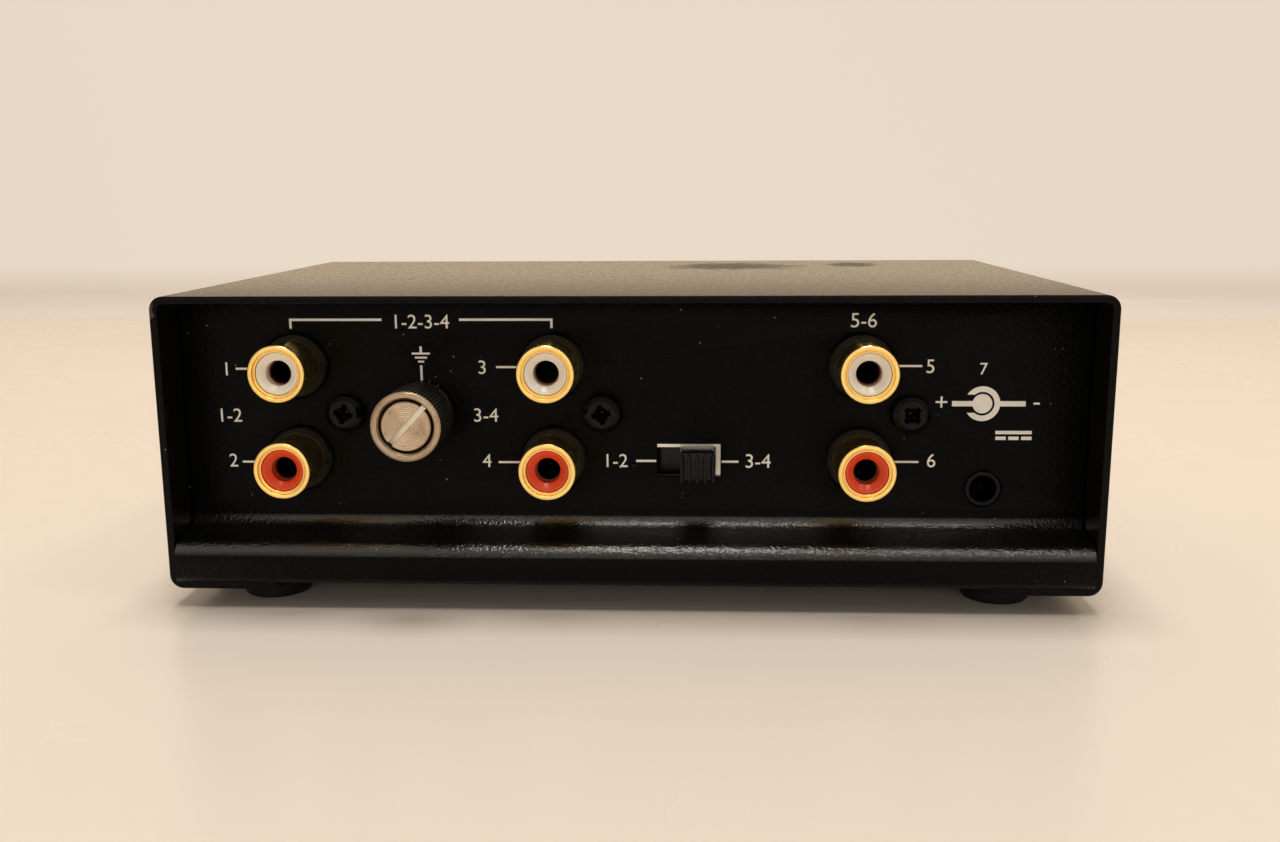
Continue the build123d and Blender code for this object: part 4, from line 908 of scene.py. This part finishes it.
def add_ground_terminal(finishes):
    """The knurled thumb nut and the slotted retainer screw in its mouth."""
    low, high = millimetres("ground_nut")
    place = ((low.x + high.x) / 2, (low.z + high.z) / 2)
    front, back = low.y, high.y
    steps = NUT_TEETH * STEPS_PER_TOOTH
    floor = front + NUT_CUP_DEPTH
    corners = [(NUT_THREAD, floor, 0), (NUT_CUP, floor, 0), (NUT_CUP, front + 0.55, 0.05),
               (NUT_CUP + 0.28, front + 0.08, 0.15), (NUT_CREST, front, 0.6),
               (NUT_RADIUS, front + 0.24, 0.12), (NUT_RADIUS, back - 0.5, 0.05), (NUT_CREST, back, 0.03),
               (NUT_THREAD, back, 0)]
    nut = turned("thumb_nut_knurled", place, corners, ring=True, sides=steps)
    editing(True)
    for share, keep in KNURL_KEEPS:
        def in_groove(spot, share=share):
            arm = Vector((spot.x - place[0] * MM, spot.z - place[1] * MM))
            number = round(math.atan2(arm.y, arm.x) / (2 * math.pi) * steps)
            return arm.length > KNURL_REACHES_TO * MM and number % STEPS_PER_TOOTH == share
        pick(nut, "verts", in_groove)
        bpy.ops.transform.resize(value=(keep, 1, keep), center_override=(place[0] * MM, 0, place[1] * MM))
    editing(False)
    fit(nut, finishes["thumb_nut"].material, "nickel_plate", "thumb_nut", "ground_nut")

    low, high = millimetres("ground_retainer")
    front = low.y
    seat = front + RETAINER_HEAD_HEIGHT
    corners = [(RETAINER_HEAD - 0.28, front, 0), (RETAINER_HEAD - 0.18, front, 0.05),
               (RETAINER_HEAD, front + 0.22, 0.05), (RETAINER_HEAD, seat, 0), (RETAINER_SHANK, seat, 0),
               (RETAINER_SHANK, high.y, 0)]
    screw = turned("retainer_screw", place, corners, sides=128)
    across = RETAINER_HEAD + 0.9
    slot = block("slot", (place[0] - across, front - 1, place[1] - RETAINER_SLOT_HALF),
                 (place[0] + across, front + RETAINER_SLOT_DEPTH, place[1] + RETAINER_SLOT_HALF),
                 turn=RETAINER_SLOT_TURN)
    cut(screw, [slot])
    soften(screw, 0.05, 2, math.radians(40))
    fit(screw, finishes["retainer"].material, "nickel_plate", "case", "ground_retainer")


def add_panel_screws(finishes):
    """Three pan-head screws with a cross recess, each stopped at its own angle."""
    low, high = millimetres("jack_screws")
    z = (low.z + high.z) / 2
    front = low.y
    seat = front + SCREW_HEAD_HEIGHT
    corners = [(1.0, front, 0), (2.0, front + 0.04, 0.3), (SCREW_HEAD, front + 0.62, 0.55),
               (SCREW_HEAD, seat, 0.08), (SCREW_SHANK, seat, 0), (SCREW_SHANK, high.y, 0)]
    screw = turned("screw", (0, z), corners, sides=80)
    bottom = front + CROSS_DEPTH
    blade = block("blade", (-CROSS_REACH, front - 1, z - CROSS_HALF), (CROSS_REACH, bottom, z + CROSS_HALF))
    editing(True)
    pick(blade, "faces", lambda middle: middle.y > (front + 1) * MM)
    bpy.ops.transform.resize(value=(0.5, 1, 0.7), center_override=(0, 0, z * MM))
    editing(False)
    soften(blade, 0.16, 3)
    blades = [blade, copied(blade, "blade", turn=math.pi / 2, about=(0, 0, z))]
    heart = turned("heart", (0, z), [(CROSS_HEART, front - 1, 0), (CROSS_HEART - 0.07, front, 0),
                                     (0.75, bottom, 0), (0.2, bottom + 0.5, 0)], sides=40)
    cut(screw, [*blades, heart])
    soften(screw, 0.07, 2, math.radians(40))
    for number, (x, turn) in enumerate(zip(SCREW_COLUMNS, SCREW_TURNS)):
        piece = copied(screw, f"panel_screw_{number + 1}", (x, 0, 0), turn, (0, 0, z))
        fit(piece, finishes["black_steel"].material, "black_steel", "case", "jack_screws")
    bpy.data.objects.remove(screw)


def add_feet(finishes):
    """Four rubber feet: a bulging rim and a recess for the screw."""
    low, high = millimetres("rubber_feet")
    reach_x = high.x - FOOT_RADIUS
    middle_y = (low.y + high.y) / 2
    reach_y = (high.y - low.y) / 2 - FOOT_RADIUS
    web = high.z - FOOT_WEB
    corners = [(FOOT_HOLE, high.z, 0), (FOOT_HOLE, web, 0), (FOOT_RECESS, web, 0), (FOOT_RECESS, low.z, 0.15),
               (FOOT_TREAD, low.z, 0.6), (FOOT_RADIUS, high.z, 0)]
    foot = turned("foot", (0, 0), corners, upright=True, ring=True)
    for number, (a, b) in enumerate(((-1, -1), (1, -1), (-1, 1), (1, 1))):
        piece = copied(foot, f"foot_{number + 1}", (a * reach_x, middle_y + b * reach_y, 0))
        fit(piece, finishes["foot_rubber"].material, "foot_rubber", "case", "rubber_feet")
    bpy.data.objects.remove(foot)


def add_switch(finishes):
    """The slide switch: a bright frame behind the slot and a ribbed slider."""
    low, high = millimetres("switch_frame")
    top, base, sheet = CAN_TOP, CAN_TOP - CAN_HEIGHT, CAN_SHEET
    plate = block("plate", (low.x, low.y, base), (high.x, low.y + sheet, top))
    cut(plate, [block("opening", (CAN_WINDOW_LOW[0], low.y - 1, CAN_WINDOW_LOW[1]),
                      (CAN_WINDOW_HIGH[0], low.y + 1, CAN_WINDOW_HIGH[1]))])
    walls = block("walls", (low.x, low.y + sheet, base), (high.x, high.y, top))
    cut(walls, [block("inside", (low.x + sheet, low.y - 1, base + sheet),
                      (high.x - sheet, high.y + 1, top - sheet))])
    tab_low, tab_high = CAN_TAB_FROM_MIDDLE - CAN_TAB_HALF, CAN_TAB_FROM_MIDDLE + CAN_TAB_HALF
    tabs = [block("tab", (x, tab_low, low.z), (x + sheet, tab_high, base + 1))
            for x in (low.x, high.x - sheet)]
    shell = joined("switch_can", [plate, walls, *tabs])
    soften(shell, 0.05, 2, math.radians(50))
    fit(shell, finishes["bright_tin"].material, "nickel_plate", "case", "switch_frame")

    low, high = millimetres("switch_slider")
    middle_x = (low.x + high.x) / 2
    wing = block("wing", (low.x, high.y - 1.6, high.z - 4.1), (high.x, high.y - 0.5, high.z), 0.1)
    skirt = block("skirt", (low.x - 0.8, high.y - 0.55, low.z - 1), (high.x, high.y, high.z), 0.1)
    left, right = middle_x - KNOB_WIDTH / 2, middle_x + KNOB_WIDTH / 2
    knob_top = low.z + KNOB_HEIGHT
    body = block("body", (left, low.y + RIB_STANDS_OUT, low.z + 0.1), (right, high.y - 0.5, knob_top), 0.25)
    rib = block("rib", (left, low.y, low.z), (left + RIB_WIDTH, low.y + RIB_LENGTH, knob_top - 0.1), 0.17)
    pitch = (KNOB_WIDTH - RIB_WIDTH) / (KNOB_RIBS - 1)
    ribs = [rib, *(copied(rib, "rib", (pitch * number, 0, 0)) for number in range(1, KNOB_RIBS))]
    slider = joined("switch_knob", [wing, skirt, body, *ribs])
    fit(slider, finishes["switch_plastic"].material, "switch_plastic", "switch_slider", "switch_slider")


def add_power_inlet(finishes):
    """The power inlet: a round collar through the panel, bored for the plug, on a square body."""
    low, high = millimetres("power_socket")
    front = low.y
    shoulder, bottom = front + INLET_COLLAR_LENGTH, front + INLET_DEPTH
    corners = [(INLET_BORE, bottom, 0), (INLET_BORE, front, 0.18), (INLET_COLLAR, front, 0.24),
               (INLET_COLLAR, shoulder, 0), (INLET_COLLAR, bottom, 0)]
    collar = turned("power_collar", POWER_PLACE, corners, ring=True)
    body = block("body", (low.x, shoulder, low.z), high, 0.3)
    cut(body, [drill(POWER_PLACE, INLET_COLLAR - 0.05, front - 1, bottom - 0.1, 64)])
    inlet = joined("power_inlet_moulding", [collar, body])
    fit(inlet, finishes["socket_plastic"].material, "socket_plastic", "case", "power_socket")


def add_power_pin(finishes):
    """The inlet's centre pin, with a rounded tip."""
    low, high = millimetres("power_pin")
    corners = [(0.12, low.y, 0), (PIN_RADIUS, low.y, 0.42), (PIN_RADIUS, high.y, 0)]
    pin = turned("power_pin_turned", POWER_PLACE, corners, sides=40)
    fit(pin, finishes["pin_painted_shade"].material, "nickel_plate", "case", "power_pin")


def add_light_lens(finishes):
    """The power light: a flange behind the panel and a domed body through it."""
    low, high = millimetres("power_light")
    place = ((low.x + high.x) / 2, (low.z + high.z) / 2)
    flange, dome = low.y + LIGHT_FLANGE_HEIGHT, high.y - LIGHT_RADIUS
    corners = [(LIGHT_FLANGE, low.y, 0), (LIGHT_FLANGE, flange, 0.1), (LIGHT_RADIUS, flange, 0),
               (LIGHT_RADIUS, dome, 0)]
    for step in range(1, LIGHT_DOME_STEPS):
        rise = math.pi / 2 * step / LIGHT_DOME_STEPS
        corners.append((LIGHT_RADIUS * math.cos(rise), dome + LIGHT_RADIUS * math.sin(rise), 0))
    lens = turned("light_lens", place, corners)
    fit(lens, finishes["light_lens"].material, "light_lens", "case", "power_light")


# ------------------------------------------------------------------ printing on the jack panel
def add_polarity_sign(marks, panel, level, bar):
    """The inlet's polarity sign: a dot in an open ring, two arms, a plus and a minus."""
    x, z = POLARITY_SIGN
    front, back = panel - INK, panel + INK_BED
    marks.append(turned("mark", POLARITY_SIGN, [(POLARITY_DOT, front, 0), (POLARITY_DOT, back, 0)], sides=48))
    inner, outer = POLARITY_RING
    corners = [(inner, front, 0), (outer, front, 0), (outer, back, 0), (inner, back, 0)]
    ring = turned("mark", POLARITY_SIGN, corners, ring=True, sides=72)
    far, near, half = POLARITY_GAP
    cut(ring, [block("gap", (x - far, panel - 1, z - half), (x - near, panel + 1, z + half))])
    marks.append(ring)
    for start, end in POLARITY_ARMS:
        level(start, end, z, POLARITY_ARM)
    x, z = PLUS_SIGN
    half_width, half_height = PLUS_HALVES
    level(x - half_width, x + half_width, z, PLUS_LINE)
    for low, high in ((z - half_height, z - PLUS_LINE / 2), (z + PLUS_LINE / 2, z + half_height)):
        bar(x - PLUS_LINE / 2, low, x + PLUS_LINE / 2, high)
    level(*MINUS_SIGN, THIN_LINE)


def add_printing(finishes):
    """Pale lines, marks and plain numbers on the jack panel."""
    low, _ = millimetres("sleeve_cover")
    panel = low.y + PANEL_RECESS
    front, back = panel - INK, panel + INK_BED
    marks = []

    def bar(x0, z0, x1, z1):
        marks.append(block("mark", (x0, front, z0), (x1, back, z1)))

    def level(x0, x1, z, width=LINE):
        bar(x0, z - width / 2, x1, z + width / 2)

    def upright(x, z0, z1):
        bar(x - LINE / 2, z0, x + LINE / 2, z1)

    def digits(text, x, z, height):
        begin()
        bpy.ops.object.text_add(location=(x * MM, back * MM, z * MM), rotation=(math.pi / 2, 0, 0))
        label = bpy.context.object
        label.data.body = text
        label.data.size = height / CAPITAL_SHARE * MM
        label.data.align_x, label.data.align_y = "CENTER", "CENTER"
        label.data.extrude = (back - front) / 2 * MM
        bpy.ops.object.convert(target="MESH")
        marks.append(named("mark"))
        editing(True)
        bpy.ops.mesh.select_all(action="SELECT")
        bpy.ops.transform.translate(value=(0, (front - back) / 2 * MM, 0))
        editing(False)

    for number in NUMBERS:
        digits(*number)
    for text, x, z in JACK_NUMBERS:
        digits(text, x, z, JACK_NUMBER_HEIGHT)
    # the bracket over two columns, the ground sign's stem and tick, and the lines to jacks and switch
    for line in UPRIGHT_LINES:
        upright(*line)
    for lines, width in ((BRACKET_LINES, LINE), (JACK_LINES, THIN_LINE), (SWITCH_LINES, SWITCH_LINE)):
        for line in lines:
            level(*line, width)
    for row, half in enumerate(GROUND_SIGN_HALVES):
        x, z = GROUND_SIGN
        level(x - half, x + half, z - GROUND_SIGN_PITCH * row, THIN_LINE)
    add_polarity_sign(marks, panel, level, bar)
    # the direct current sign: a line over three dashes
    bar(*DIRECT_LOW, *DIRECT_HIGH)
    for step in range(DASHES):
        shift = step * DASH_PITCH
        bar(DASH_LOW[0] + shift, DASH_LOW[1], DASH_HIGH[0] + shift, DASH_HIGH[1])
    printing = joined("panel_printing", marks)
    fit(printing, finishes["ink"].material, "panel_paint", "case")


def dress_solids(finishes):
    """The solids that stay get the finish of their slot."""
    for node in frame["nodes"].values():
        for holder in node.material_slots:
            slot = holder.material.name.split(".")[0]
            holder.material = finishes[slot].material
    frame["nodes"]["centre_contacts"].material_slots[0].material = finishes["centre_contact"].material


add_camera()
add_stage()
add_light()
finishes = make_finishes()
dress_solids(finishes)
add_sleeve(finishes)
add_tray(finishes)
add_shells(finishes)
add_insulators(finishes)
add_ground_terminal(finishes)
add_panel_screws(finishes)
add_switch(finishes)
add_power_inlet(finishes)
add_power_pin(finishes)
add_light_lens(finishes)
add_feet(finishes)
add_printing(finishes)

bpy.context.scene.view_settings.view_transform = "Standard"
